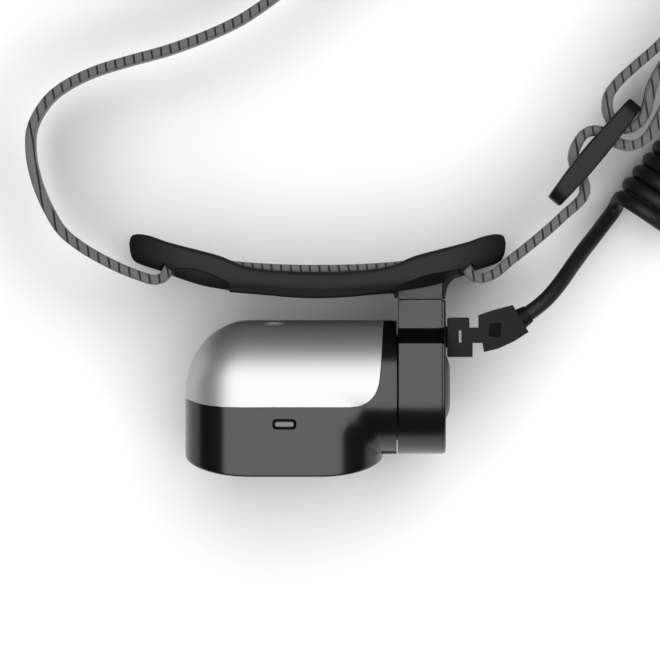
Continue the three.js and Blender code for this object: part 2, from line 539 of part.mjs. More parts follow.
add('battery_case', batteryCase(), glossBlack);
add('battery_door', batteryDoor(), glossBlack);
add('door_hinge_pin', rod(0.8, CASE.x0 + 2, CASE.x1 - 2, X, [0, DOOR_AXIS.y, DOOR_AXIS.z], 10), steel);
const latch = block(52.5, 71.5, CASE.y1 - 1.3, CASE.y1 + 0.6, CASE.z0 + 0.3, CASE.z0 + 7);
add('door_latch', latch, rubberyBlack);
add('door_seal', alongY(roundedRect(62, MID_Z, 60, 34.2, 2), 115.1, 116)
  .subtract(alongY(roundedRect(62, MID_Z, 57, 33.3, 2), 110, 120)), sealGrey);
const CELL_PROFILE = [[0, 34.6], [CELL.r, 34.6], [CELL.r, 78.1], [2, 78.1], [2, 79.1], [0, 79.1]];
const SPRING_PROFILE = [[0, 32], [2.8, 32], [1.6, 34.2], [0, 34.2]];
for (const i of [0, 1, 2]) {
  const at = [0, CELL.y, MID_Z + (i - 1) * CELL.pitch];
  add(`cell_${i + 1}`, turned(CELL_PROFILE, X, at, 20), cellGrey);
  add(`contact_spring_${i + 1}`, turned(SPRING_PROFILE, X, at, 12), steel);
}
add('contact_board', block(79.5, 80.9, 106, 115, MID_Z - 16, MID_Z + 16), boardGreen);
const SOCKET_PROFILE = [[0, 84], [3.6, 84], [3.6, 92], [SOCKET.r, 92], [SOCKET.r, 94.8], [2.6, 94.8],
  [2.6, 88], [0, 88]];
add('cable_socket', turned(SOCKET_PROFILE, X, onSocket, 20), glossBlack);

// Cable. The lead drops from the boot to the curly section, which lies on the ground, and the tail rises
// from its far end to an angled plug in the case's socket.
const LEAD = [[40.9, -4.25, 22.4], [43.6, -2.5, 22.3], [46.2, -0.2, 21.4], [48.7, 2.8, 19.2], [50.9, 6, 16],
  [53.3, 9.3, 12], [55.8, 12.4, 8.5], [57.9, 15.2, 5.9], [59.2, 17.3, 4.7]];
const TAIL = [[101.2, 51.9, 4.6], [101.6, 54.2, 3.2], [103, 59, 2.2], [104.2, 65, 2], [105, 71, 3],
  [105.5, 77, 5.7], [105.8, 83, 10], [105.8, 89, 15.3], [105.6, 94.5, 20], [105.3, 99.5, 22.1],
  [105.2, 103.2, 22.4]];
const coilAxis = new THREE.Vector3(COIL.dx, COIL.dy, 0).normalize();

add('cable_lead', tube(LEAD, CORD_D, 3.4), cableBlack);
add('cable_coil', rod(COIL.r, 0, COIL.length, coilAxis, [COIL.x, COIL.y, COIL.axisZ], 24), cableBlack);
add('cable_tail', tube(TAIL, CORD_D, 4.5), cableBlack);
const PLUG_PLAN = [[95.1, 107.2], [102.6, 107.2], [103.2, 103.5], [107.2, 103.5], [108, 108.5], [107.4, 113],
  [105.6, 114.4], [95.1, 114.2]];
const plugBody = alongZ(PLUG_PLAN, MID_Z - 3.6, MID_Z + 3.6);
add('cable_plug', plugBody.add(rod(2.2, 88.5, 96, X, onSocket, 16)), cableBlack);

export default headlamp;
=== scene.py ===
import math

import bpy
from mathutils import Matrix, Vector


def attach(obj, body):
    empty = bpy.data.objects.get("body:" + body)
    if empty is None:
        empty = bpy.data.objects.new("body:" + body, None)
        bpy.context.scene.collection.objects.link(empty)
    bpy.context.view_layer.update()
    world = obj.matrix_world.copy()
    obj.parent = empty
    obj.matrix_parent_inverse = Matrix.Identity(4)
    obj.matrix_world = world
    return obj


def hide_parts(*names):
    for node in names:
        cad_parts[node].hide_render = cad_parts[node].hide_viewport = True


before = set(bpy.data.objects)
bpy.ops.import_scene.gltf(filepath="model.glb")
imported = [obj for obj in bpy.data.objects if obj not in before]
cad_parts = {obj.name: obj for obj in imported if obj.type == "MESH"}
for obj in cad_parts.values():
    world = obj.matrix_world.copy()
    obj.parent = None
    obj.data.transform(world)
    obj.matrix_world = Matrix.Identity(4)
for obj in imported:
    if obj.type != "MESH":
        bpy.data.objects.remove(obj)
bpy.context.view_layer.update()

# Stage and camera. The headlamp stands on a plain white table under one wide overhead softbox, and is
# seen from straight above through a long lens.
MM = 0.001              # outlines are in millimetres and are turned into metres as a piece is made
FACE = -0.0024          # y of the bracket's front face, from which outlines are measured
ARM_Y = -18.1           # y of the hinge axis
ABOVE = 50              # higher than every piece, for cuts that go all the way up
AXIS_Z = 22.4           # height of the hinge axis and of the middle of the strap
VIEW_CENTRE = (0.0025, -0.0067 + FACE)
VIEW_WIDTH = 0.132
VIEW_HEIGHT = 4.0      # a long lens, so that the view is close to a parallel one
SENSOR = 36


def deselect():
    """Leaves every object unselected, in object mode, so that the next operator acts on its own piece."""
    if bpy.context.object and bpy.context.object.mode != "OBJECT":
        bpy.ops.object.mode_set(mode="OBJECT")
    bpy.ops.object.select_all(action="DESELECT")


def activate(piece):
    deselect()
    piece.select_set(True)
    bpy.context.view_layer.objects.active = piece


def softbox(name, x, y, z, size_x, size_y, watts, turn=(0, 0, 0)):
    deselect()
    bpy.ops.object.light_add(type="AREA", location=(x, y, z), rotation=turn)
    lamp = bpy.context.object
    lamp.name = name
    lamp.data.shape = "RECTANGLE"
    lamp.data.size = size_x
    lamp.data.size_y = size_y
    lamp.data.energy = watts
    lamp.visible_camera = False


deselect()
bpy.ops.mesh.primitive_plane_add(size=8, location=(0, 0, 0))
table_top = bpy.context.object
table_top.name = "table_top"
paper = bpy.data.materials.new("white_paper")
paper.use_nodes = True
paper.node_tree.nodes["Principled BSDF"].inputs["Base Color"].default_value = (0.86, 0.86, 0.86, 1)
paper.node_tree.nodes["Principled BSDF"].inputs["Roughness"].default_value = 0.9
table_top.data.materials.append(paper)

softbox("overhead_softbox", 0.07, 0.08, 0.9, 1.26, 1.52, 18.1)
world = bpy.data.worlds.new("studio")
world.use_nodes = True
world.node_tree.nodes["Background"].inputs["Color"].default_value = (1, 1, 1, 1)
world.node_tree.nodes["Background"].inputs["Strength"].default_value = 0.05
bpy.context.scene.world = world
bpy.context.scene.view_settings.view_transform = "Standard"

deselect()
bpy.ops.object.camera_add(location=(*VIEW_CENTRE, VIEW_HEIGHT), rotation=(0, 0, 0))
camera = bpy.context.object
camera.data.sensor_width = SENSOR
camera.data.clip_end = 2 * VIEW_HEIGHT
camera.data.lens = SENSOR * (VIEW_HEIGHT - AXIS_Z * MM) / VIEW_WIDTH
bpy.context.scene.camera = camera


# Cable. A round lead with a matt black rubber jacket runs from the boot to a close-wound curly section
# that lies on the table, and its tail goes on to the plug of the battery case.
CORD_D = 0.0031
LEAD = [(0.0409, -0.00425, 0.0224), (0.0436, -0.0025, 0.0223), (0.0462, -0.0002, 0.0214),
        (0.0487, 0.0028, 0.0192), (0.0509, 0.0060, 0.0160), (0.0533, 0.0093, 0.0120),
        (0.0558, 0.0124, 0.0085), (0.0579, 0.0152, 0.0059), (0.0592, 0.0173, 0.0047)]
TAIL = [(0.1012, 0.0519, 0.0046), (0.1016, 0.0542, 0.0032), (0.1030, 0.0590, 0.0022),
        (0.1042, 0.0650, 0.0020), (0.1050, 0.0710, 0.0030), (0.1055, 0.0770, 0.0057),
        (0.1058, 0.0830, 0.0100), (0.1058, 0.0890, 0.0153), (0.1056, 0.0945, 0.0200),
        (0.1053, 0.0995, 0.0221), (0.1052, 0.1032, 0.0224)]
COIL_START = Vector((0.0640, 0.0148, 0.0078))
COIL_AXIS = Vector((0.63, 0.776, 0)).normalized()
COIL_SIDE = Vector((-0.776, 0.63, 0)).normalized()
COIL_TURN_R = 0.0075 - CORD_D / 2
COIL_FIRST = 0.0019
COIL_PITCH = 0.0032
COIL_TURNS = 14.55
STEPS_A_TURN = 20


class Wire:
    """A shader socket that takes part in sums, so that a pattern reads as arithmetic."""

    def __init__(self, tree, socket):
        self.tree, self.socket = tree, socket

    def node(self, kind, settings=None, inputs=None, output=0):
        made = self.tree.nodes.new(kind)
        for key, value in (settings or {}).items():
            setattr(made, key, value)
        for key, value in (inputs or {}).items():
            if isinstance(value, Wire):
                self.tree.links.new(value.socket, made.inputs[key])
            else:
                made.inputs[key].default_value = value
        return Wire(self.tree, made.outputs[output])

    def sum_of(self, operation, a, b=0.0, c=0.0):
        return self.node("ShaderNodeMath", {"operation": operation}, {0: a, 1: b, 2: c})

    def __add__(self, other):
        return self.sum_of("ADD", self, other)

    def __sub__(self, other):
        return self.sum_of("SUBTRACT", self, other)

    def __mul__(self, other):
        return self.sum_of("MULTIPLY", self, other)

    def __rsub__(self, other):
        return self.sum_of("SUBTRACT", other, self)

    def __truediv__(self, other):
        return self.sum_of("DIVIDE", self, other)

    __radd__ = __add__
    __rmul__ = __mul__


def new_finish(name):
    """An empty finish: its material, its shader and a wire that carries the place on the piece."""
    material = bpy.data.materials.new(name)
    material.use_nodes = True
    tree = material.node_tree
    shader = tree.nodes["Principled BSDF"]
    place = Wire(tree, tree.nodes.new("ShaderNodeTexCoord").outputs["Object"])
    return material, shader, place


def grey(value):
    return value, value, value


def colour_between(wire, mask, dark, light):
    return wire.node("ShaderNodeMix", {"data_type": "RGBA"}, {0: mask, 6: (*dark, 1), 7: (*light, 1)}, 2)


def noise(place, scale, detail=3.0, roughness=0.6):
    return place.node("ShaderNodeTexNoise", {"noise_dimensions": "3D"},
                      {"Vector": place, "Scale": scale, "Detail": detail, "Roughness": roughness})


def connect(shader, socket, wire):
    wire.tree.links.new(wire.socket, shader.inputs[socket])


def raise_surface(shader, height, strength, distance):
    bump = height.node("ShaderNodeBump", {}, {"Height": height, "Strength": strength, "Distance": distance})
    connect(shader, "Normal", bump)


def moulded_finish(name, dark, light, rough, rough_spread, grain_scale, grain_height, gloss=0.5):
    """Moulded plastic or rubber: a fine spark-eroded grain, with slow patches of sheen and shade."""
    material, shader, place = new_finish(name)
    patches = noise(place, 90, 4)
    grain = noise(place, grain_scale, 2, 0.7)
    connect(shader, "Base Color", colour_between(place, patches * 0.6 + grain * 0.4, dark, light))
    connect(shader, "Roughness", rough + rough_spread * (patches - 0.5) + rough_spread * 0.6 * (grain - 0.5))
    raise_surface(shader, grain, 0.35, grain_height)
    shader.inputs["Specular IOR Level"].default_value = gloss
    return material


jacket = moulded_finish("cable_jacket", grey(0.006), grey(0.011), 0.5, 0.14, 5200, 0.00002, 0.2)


def shifted(points):
    return [Vector((x, y + FACE, z)) for x, y, z in points]


def helix():
    """The turns of the curly section, from the side where the lead comes in, over the top and on."""
    points = []
    for step in range(round(COIL_TURNS * STEPS_A_TURN) + 1):
        turn = step / STEPS_A_TURN
        angle = 2 * math.pi * turn
        out = COIL_SIDE * math.cos(angle) + Vector((0, 0, 1)) * math.sin(angle)
        points.append(COIL_START + COIL_AXIS * (COIL_FIRST + COIL_PITCH * turn) + out * COIL_TURN_R)
    return [(p.x, p.y, p.z) for p in points]


route = shifted(LEAD[:-1] + [(0.0595, 0.0172, 0.0046), (0.0603, 0.0190, 0.0058)] + helix()[1:] + TAIL)


def swept_cord(name, points, diameter):
    """A round cord on one smooth open spline through the points of its route."""
    deselect()
    bpy.ops.curve.primitive_nurbs_path_add(location=(0, 0, 0))
    cord = bpy.context.object
    cord.name = name
    cord.data.splines.clear()
    line = cord.data.splines.new("NURBS")
    line.points.add(len(points) - 1)
    for spot, point in zip(line.points, points):
        spot.co = (*point, 1)
    line.order_u = 3
    line.use_endpoint_u = True
    line.resolution_u = 3
    cord.data.dimensions = "3D"
    cord.data.bevel_depth = diameter / 2
    cord.data.bevel_resolution = 4
    cord.data.use_fill_caps = True
    return cord


cable = swept_cord("cable", route, CORD_D)
cable.data.materials.append(jacket)
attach(cable, "headband")
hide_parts("cable_lead", "cable_coil", "cable_tail")


# Strap. One grey woven polyester band, 25 mm wide and 2 mm thick, runs on edge from the rear cradle round
# the left of the head, through the bracket and the slider and round the cradle's right bar. Its end is
# folded round the slider's middle bar and sewn to itself.
STRAP_THICK = 2.0
STRAP_WIDE = 25.0
STRAP_EDGE_R = 0.75
STRAP_LEFT = [(-29.85, 5.4), (-30.3, 4.4), (-31.2, 3.6), (-32.3, 3.3), (-33.6, 3.45), (-34.9, 3.9),
              (-39.1, 5.5), (-43.9, 7.9), (-47.5, 10.1), (-51.1, 13.1), (-53.5, 16.9), (-55.5, 21.3),
              (-56.7, 25.3), (-57.3, 29.3), (-57, 33.7), (-54.1, 38.9), (-50.9, 41.7), (-45.1, 44.7),
              (-37.9, 47), (-29.9, 49.2), (-21.1, 52.5), (-15.3, 55.3), (-9.9, 58.9), (-3, 64.4),
              (5, 72.3), (13, 81.2), (18.6, 88), (21.9, 93.4), (23, 98.5), (25.2, 101.6), (28.2, 101.6),
              (29.7, 99), (29.4, 94.6), (26.4, 89.3), (21.4, 83.2), (17.5, 79)]
STRAP_INSIDE = [(-29.3, 6.5), (-28, 7.3), (-25, 7.3), (-21, 6.7), (-17, 6.1), (-9, 5.5), (0, 5.3),
                (9, 5.5), (17, 6.1), (21, 6.7), (25, 7.3), (28, 7.3), (29.3, 6.6)]
STRAP_RIGHT = [(29.95, 5.6), (30.4, 4.7), (31.2, 3.95), (32.3, 3.6), (33.7, 3.8), (35.9, 4.9),
               (37.9, 6.7), (40.5, 8.7), (46.3, 13.5), (49.9, 16.8), (52, 18.6), (53.4, 20.5),
               (53.4, 22.3), (52.7, 23.9), (51.55, 25.9), (51.1, 28.05), (52, 30.7), (53.6, 32.7),
               (55.6, 33.2), (57.3, 32.6), (58.7, 31.4), (60, 30.7), (62.4, 30.1), (64.5, 30.7),
               (66.5, 32.5), (67.9, 34.8), (70.3, 39.4), (74.6, 46.5), (80.4, 54.8), (87.6, 65.2),
               (94.6, 77), (99.4, 88.4)]
STRAP_RETURN = [(101, 94.5), (101, 99.2), (98.8, 101.7), (95.8, 101.6), (94.3, 99), (94.2, 94.5),
                (91.7, 87.5), (86.5, 77.5), (80.5, 67.5), (74.5, 58.4), (69, 51), (63.4, 46), (60, 42.8),
                (58.2, 40.2), (57.9, 37.7), (58.5, 35.7), (59.9, 34.3), (61.5, 33.6), (63.25, 34),
                (65, 35.6), (65.9, 37.9), (66.9, 42.1), (69.3, 46.6), (73.4, 52.5), (77.4, 58.3)]


def smooth_line(points, spacing):
    """Even steps along a centripetal Catmull-Rom line through plan points, in millimetres."""
    spots = [Vector(p) for p in points]
    spots = [2 * spots[0] - spots[1]] + spots + [2 * spots[-1] - spots[-2]]
    fine = [spots[1]]
    for a, b, c, d in zip(spots, spots[1:], spots[2:], spots[3:]):
        e, f, g = ((q - p).length ** 0.5 for p, q in ((a, b), (b, c), (c, d)))
        out = (e * e * c - f * f * a + (2 * e * e + 3 * e * f + f * f) * b) / (3 * e * (e + f))
        back = (g * g * b - f * f * d + (2 * g * g + 3 * g * f + f * f) * c) / (3 * g * (g + f))
        for step in range(1, 17):
            t = step / 16
            s = 1 - t
            fine.append(s ** 3 * b + 3 * s * s * t * out + 3 * s * t * t * back + t ** 3 * c)
    walked = [0]
    for p, q in zip(fine, fine[1:]):
        walked.append(walked[-1] + (q - p).length)
    count = max(2, round(walked[-1] / spacing))
    line, at = [fine[0]], 0
    for step in range(1, count + 1):
        goal = walked[-1] * step / count
        while at < len(walked) - 2 and walked[at + 1] < goal:
            at += 1
        line.append(fine[at].lerp(fine[at + 1], (goal - walked[at]) / (walked[at + 1] - walked[at])))
    return line


def arc(x, y, r, start, end, steps):
    """Points on a round stretch of an outline, with its angles in degrees."""
    turns = [math.radians(start + (end - start) * i / steps) for i in range(steps + 1)]
    return [(x + r * math.cos(turn), y + r * math.sin(turn)) for turn in turns]


def rounded_box(x0, x1, y0, y1, r, steps=4):
    return (arc(x1 - r, y1 - r, r, 0, 90, steps) + arc(x0 + r, y1 - r, r, 90, 180, steps)
            + arc(x0 + r, y0 + r, r, 180, 270, steps) + arc(x1 - r, y0 + r, r, 270, 360, steps))


def loft(name, rings, closed=False):
    """A skin over rings of points, made from a grid; its ends are filled, or joined to each other."""
    deselect()
    rows, columns = len(rings) + closed, len(rings[0]) + 1
    bpy.ops.mesh.primitive_grid_add(x_subdivisions=columns - 1, y_subdivisions=rows - 1, size=1)
    piece = bpy.context.object
    piece.name = name
    for row in range(rows):
        ring = rings[row % len(rings)]
        for column in range(columns):
            x, y, z = ring[column % len(ring)]
            piece.data.vertices[row * columns + column].co = (x * MM, y * MM + FACE, z * MM)
    bpy.ops.object.mode_set(mode="EDIT")
    bpy.ops.mesh.select_all(action="SELECT")
    bpy.ops.mesh.remove_doubles(threshold=1e-7)
    if not closed:
        bpy.ops.mesh.select_all(action="DESELECT")
        bpy.ops.mesh.select_mode(type="EDGE")
        bpy.ops.mesh.select_non_manifold(use_multi_face=False, use_non_contiguous=False, use_verts=False)
        bpy.ops.mesh.edge_face_add()
        bpy.ops.mesh.select_mode(type="VERT")
    bpy.ops.mesh.select_all(action="SELECT")
    bpy.ops.mesh.normals_make_consistent(inside=False)
    bpy.ops.object.mode_set(mode="OBJECT")
    return piece


def smoothed(piece, degrees=35):
    activate(piece)
    bpy.ops.object.shade_smooth_by_angle(angle=math.radians(degrees))
    return piece


def fitted(piece, material, body, slot, *nodes):
    """Gives a finished piece its material and its body, and hides the nodes that it stands for. The slot is
    not used.
    """
    piece.data.materials.clear()
    piece.data.materials.append(material)
    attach(piece, body)
    if nodes:
        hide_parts(*nodes)


def band(name, line, thick, wide, edge_r):
    """Webbing on edge along a plan line, with the distance along it and the height in its UV map."""
    section = rounded_box(-thick / 2, thick / 2, -wide / 2, wide / 2, edge_r)
    rings = []
    for before, spot, after in zip([line[0]] + line[:-1], line, line[1:] + [line[-1]]):
        along = (after - before).normalized()
        rings.append([(spot.x - along.y * n, spot.y + along.x * n, AXIS_Z + z) for n, z in section])
    piece = loft(name, rings)
    step = (line[1] - line[0]).length
    size = len(section)
    layer = piece.data.uv_layers.active or piece.data.uv_layers.new(name="weave")
    for loop in piece.data.loops:
        ring = loop.vertex_index // size
        height = piece.data.vertices[loop.vertex_index].co.z - AXIS_Z * MM
        layer.data[loop.index].uv = (ring * step * MM, height)
    return piece


EDGE_STARTS = 0.01195   # half height from which the band's rounded edge counts as its edge, in metres
PICK_SPACING = 0.0019
RIB_SPACING = 0.00062
WEFT_SPACING = 0.0009


def webbing_finish():
    """Grey woven band: ribs across the flat sides, and slanted dark picks that show on its edges."""
    material, shader, place = new_finish("woven_grey")
    tree = place.tree
    split = place.node("ShaderNodeSeparateXYZ", {}, {0: place})
    x, y = split, Wire(tree, split.socket.node.outputs[1])
    sewn = place.node("ShaderNodeUVMap", {"uv_map": "UVMap"})
    apart = sewn.node("ShaderNodeSeparateXYZ", {}, {0: sewn})
    along, height = apart, Wire(tree, apart.socket.node.outputs[1])
    wobble = noise(place, 260, 2) - 0.5
    on_edge = height.sum_of("GREATER_THAN", height.sum_of("ABSOLUTE", height), EDGE_STARTS)
    slant = (x + 0.16 * y) / PICK_SPACING + 0.25 * wobble
    side_run = (along + 0.35 * height) / PICK_SPACING
    picks = slant * on_edge + side_run * (1 - on_edge)
    phase = picks.sum_of("FRACT", picks)
    dark_pick = phase.sum_of("COMPARE", phase, 0.5, 0.11)
    rib_phase = along / RIB_SPACING
    ribs = rib_phase.sum_of("SINE", rib_phase * (2 * math.pi))
    weft_phase = height / WEFT_SPACING
    weft = weft_phase.sum_of("SINE", weft_phase * (2 * math.pi))
    threads = (ribs * weft) * (1 - on_edge) + (noise(place, 2600, 2) - 0.5) * 1.6
    tone = 0.5 + 0.14 * threads + 0.5 * wobble
    pale = colour_between(place, tone, (0.075, 0.075, 0.076), (0.135, 0.136, 0.138))
    dyed = {0: dark_pick, 6: pale, 7: (*grey(0.008), 1)}
    connect(shader, "Base Color", place.node("ShaderNodeMix", {"data_type": "RGBA"}, dyed, 2))
    shader.inputs["Roughness"].default_value = 0.92
    shader.inputs["Sheen Weight"].default_value = 0.25
    shader.inputs["Sheen Roughness"].default_value = 0.5
    raise_surface(shader, threads * 0.5 - dark_pick * 0.7, 0.6, 0.00012)
    return material


webbing = webbing_finish()
strap_line = smooth_line(STRAP_LEFT[::-1] + STRAP_INSIDE + STRAP_RIGHT + STRAP_RETURN, 1.25)
strap = smoothed(band("strap", strap_line, STRAP_THICK, STRAP_WIDE, STRAP_EDGE_R), 50)
fitted(strap, webbing, "headband", "webbing", "strap_behind_bracket", "strap_left", "strap_right",
       "strap_return", "strap_anchor_loop")


# Slider buckle. A flat moulded nylon frame with two slots and a middle bar, thicker at the bar, that
# the band is threaded through. Its long edges are rounded so that the webbing slides.
SLIDER_AT = Vector((55.4, 28.8))
SLIDER_ALONG = Vector((0.64, 0.768))
SLIDER_HALF = 12.7
SLIDER_TALL = 30
SLIDER_CORNER = 3.2
SLIDER_SIDE = [(-13.1, -1.5), (-9, -1.75), (-4, -2.05), (1, -2.05), (8, -1.8), (13.0, -1.55)]
SLIDER_SLOTS = [(-8.4, -2.5), (1.2, 9.0)]
SLOT_TALL = 26


def slab(name, outline, z0, z1):
    """A flat face on a plan outline, pulled up to its height."""
    deselect()
    bpy.ops.mesh.primitive_circle_add(vertices=len(outline), radius=1, fill_type="NGON")
    piece = bpy.context.object
    piece.name = name
    for vertex, (x, y) in zip(piece.data.vertices, outline):
        vertex.co = (x * MM, y * MM + FACE, z0 * MM)
    bpy.ops.object.mode_set(mode="EDIT")
    bpy.ops.mesh.select_all(action="SELECT")
    bpy.ops.mesh.extrude_region_move(TRANSFORM_OT_translate={"value": (0, 0, (z1 - z0) * MM)})
    bpy.ops.mesh.select_all(action="SELECT")
    bpy.ops.mesh.normals_make_consistent(inside=False)
    bpy.ops.object.mode_set(mode="OBJECT")
    return piece


def side_slab(name, outline, x0, x1):
    """A flat face on an outline in y and z, pulled to the right."""
    piece = slab(name, outline, x0, x1)
    for vertex in piece.data.vertices:
        y, z, x = vertex.co
        vertex.co = (x, y + FACE, z - FACE)
    return turned_out(piece)


def front_slab(name, outline, y0, y1):
    """A flat face on an outline in x and z, pulled to the back."""
    piece = slab(name, outline, y0, y1)
    for vertex in piece.data.vertices:
        x, z, y = vertex.co
        vertex.co = (x, y + FACE, z - FACE)
    return turned_out(piece)


def turned_out(piece):
    activate(piece)
    bpy.ops.object.mode_set(mode="EDIT")
    bpy.ops.mesh.select_all(action="SELECT")
    bpy.ops.mesh.normals_make_consistent(inside=False)
    bpy.ops.object.mode_set(mode="OBJECT")
    return piece


def modified(piece, kind, **settings):
    activate(piece)
    modifier = piece.modifiers.new(kind.lower(), kind)
    for key, value in settings.items():
        setattr(modifier, key, value)
    bpy.ops.object.modifier_apply(modifier=modifier.name)
    return piece


def combined(piece, other, operation):
    """Joins, cuts or keeps the common part of two closed pieces; the second one is used up."""
    modified(piece, "BOOLEAN", operation=operation, object=other, solver="EXACT")
    bpy.data.objects.remove(other, do_unlink=True)
    return piece


def cut(piece, *others):
    for other in others:
        combined(piece, other, "DIFFERENCE")
    return piece


def softened(piece, width, segments=3, degrees=32):
    """Moulded edges: every edge sharper than the angle is rounded."""
    return modified(piece, "BEVEL", width=width * MM, segments=segments, limit_method="ANGLE",
                    angle_limit=math.radians(degrees), use_clamp_overlap=True, harden_normals=False)


def on_slider(s, n):
    spot = SLIDER_AT + s * SLIDER_ALONG + n * Vector((-SLIDER_ALONG.y, SLIDER_ALONG.x))
    return spot.x, spot.y


near_side = [on_slider(s, n) for s, n in SLIDER_SIDE]
far_side = [on_slider(s, -n) for s, n in reversed(SLIDER_SIDE)]
slider = slab("slider", near_side + far_side, 0, ABOVE)
half_tall = SLIDER_TALL / 2
face_outline = rounded_box(-SLIDER_HALF, SLIDER_HALF, -half_tall, half_tall, SLIDER_CORNER, 8)
face = slab("slider_face", face_outline, -4, 4)
for vertex in face.data.vertices:
    s, z, n = vertex.co.x / MM, (vertex.co.y - FACE) / MM, vertex.co.z / MM
    x, y = on_slider(s, n)
    vertex.co = (x * MM, y * MM + FACE, (z + AXIS_Z) * MM)
combined(slider, turned_out(face), "INTERSECT")
for start, end in SLIDER_SLOTS:
    opening = [on_slider(s, n) for s, n in ((start, -4), (end, -4), (end, 4), (start, 4))]
    cut(slider, slab("opening", opening, AXIS_Z - SLOT_TALL / 2, AXIS_Z + SLOT_TALL / 2))
smoothed(softened(slider, 0.42, 4, 40))
nylon = moulded_finish("moulded_nylon", grey(0.004), grey(0.009), 0.42, 0.12, 4200, 0.00002, 0.16)
fitted(slider, nylon, "headband", "rubbery_black", "slider_buckle")


# Cable boot. One soft moulding over the cable: a block against the arm, a slotted waist that lets it
# bend, and a block with a pocket that turns the cable towards the band.
BOOT = [(25.95, -4.4), (25.95, -12.1), (31.0, -12.1), (31.0, -9.3), (33.0, -9.3), (33.3, -11.1),
        (36.2, -10.4), (39.4, -8.9), (42.2, -7.1), (39.0, -1.7), (35.2, -2.7), (32.2, -3.7),
        (32.2, -6.2), (30.4, -6.2), (30.3, -4.2), (26.4, -4.2)]
BOOT_SLOT = [(28.25, -9.2), (28.8, -9.2), (28.8, -6.8), (28.25, -6.8)]
BOOT_POCKET = [(34.2, -8.0), (36.5, -8.2), (36.8, -5.2), (34.4, -5.4)]
BUTTON_ROOM_R = 6.6     # room around the power button in the boot and in the arm's cover
HALF_WEB = 0.5          # half of the web that is left between the upper and the lower pocket
boot = slab("boot", BOOT, AXIS_Z - 4.8, AXIS_Z + 4.8)
cut(boot, slab("slot", BOOT_SLOT, 0, ABOVE), slab("upper_pocket", BOOT_POCKET, AXIS_Z + HALF_WEB, ABOVE),
    slab("lower_pocket", BOOT_POCKET, 0, AXIS_Z - HALF_WEB),
    side_slab("button_room", arc(ARM_Y, AXIS_Z, BUTTON_ROOM_R, 0, 360, 47)[:-1], 25, 27.2))
softened(boot, 0.45, 4)
neck = front_slab("neck", rounded_box(22, 26.6, AXIS_Z - 3, AXIS_Z + 3, 1), -10.2, -6)
combined(boot, neck, "UNION")
smoothed(boot)
boot_rubber = moulded_finish("boot_rubber", grey(0.002), grey(0.006), 0.5, 0.16, 3600, 0.00002, 0.12)
fitted(boot, boot_rubber, "headband", "cable_black", "cable_boot")


def tube_on(name, start, end, profile, steps=32):
    """A turned piece along the line from start to end, from pairs of a radius and a share of its length."""
    start, end = Vector(start), Vector(end)
    along = (end - start).normalized()
    side = along.cross(Vector((0, 0, 1))).normalized()
    up = side.cross(along)
    rings = []
    for r, share in profile:
        middle = start.lerp(end, share)
        turns = [2 * math.pi * i / steps for i in range(steps)]
        rings.append([middle + r * (side * math.cos(turn) + up * math.sin(turn)) for turn in turns])
    return loft(name, rings, closed=True)


# Boot collar. A short tapered rubber sleeve, moulded in one with the boot, that grips the cable where it
# comes out.
COLLAR = [(1.6, 0), (1.6, 1), (1.68, 1.02), (1.8, 1), (2.1, 0.4), (2.1, 0)]
collar = smoothed(tube_on("boot_collar", (39.6, -5.1, AXIS_Z), (42.2, -3.45, AXIS_Z - 0.05), COLLAR), 40)
fitted(collar, boot_rubber, "headband", "cable_black")


# Forehead bracket. A curved carrier moulded in soft-touch black plastic, with a rounded crown, a strap
# tunnel through each thick end and a shallow bed for the strap behind its middle.
BRACKET_TOP = 36.9
BRACKET_HALF = 37.6
BRACKET_FRONT = [(-37.6, 10.4), (-37.3, 8.4), (-36.5, 7.0), (-31.7, 5.2), (-28.4, 3.9), (-23.4, 2.3),
                 (-17.9, 1.3), (-11.2, 0.7), (-5.4, 0.2), (0, 0), (5.4, 0.2), (11.2, 0.7), (17.9, 1.3),
                 (23.4, 2.3), (28.4, 3.9), (31.7, 5.2), (36.5, 7.0), (37.3, 8.4), (37.6, 10.4)]
BRACKET_BACK = [(-37.6, 10.5), (-37.2, 12.0), (-36.0, 12.45), (-33.5, 12.1), (-30, 10.9), (-24.7, 9.5),
                (-19.2, 8.0), (-15.4, 6.4), (-12, 5.6), (-5, 5.0), (0, 4.9), (5, 5.0), (12, 5.6),
                (15.4, 6.4), (19.2, 8.0), (24.7, 9.5), (30, 10.9), (33.5, 12.1), (36.0, 12.45),
                (37.2, 12.0), (37.6, 10.5)]
RIDGE_LEFT = [(-28.6, 5.5), (-24.5, 5.4), (-21.3, 4.4), (-17.6, 2.5)]
RIDGE_RIGHT = [(14.0, 1.2), (18.6, 3.0), (22.0, 4.2), (24.8, 4.7), (28.6, 5.4)]
LEFT_RIDGE_END, RIGHT_RIDGE_START = -17.6, 15.6
STRAP_TUNNEL = [(-30.2, 1.5), (-30.2, 4.9)] + STRAP_INSIDE + [(30.2, 4.9), (30.2, 1.5)]


def reading(points, spacing=0.25):
    """A function that reads y from x along a smooth plan line whose x only grows."""
    line = smooth_line(points, spacing)

    def read(x):
        for p, q in zip(line, line[1:]):
            if x <= q.x:
                return p.y + (q.y - p.y) * max(0, x - p.x) / max(q.x - p.x, 1e-6)
        return line[-1].y
    return read


def widened(line, half):
    """The outline of a plan line widened by half of its thickness to both sides."""
    spots = list(zip([line[0]] + line[:-1], line, line[1:] + [line[-1]]))
    sides = [[], []]
    for before, spot, after in spots:
        along = (after - before).normalized()
        for side, sign in zip(sides, (1, -1)):
            side.append((spot.x - sign * along.y * half, spot.y + sign * along.x * half))
    return sides[1] + sides[0][::-1]


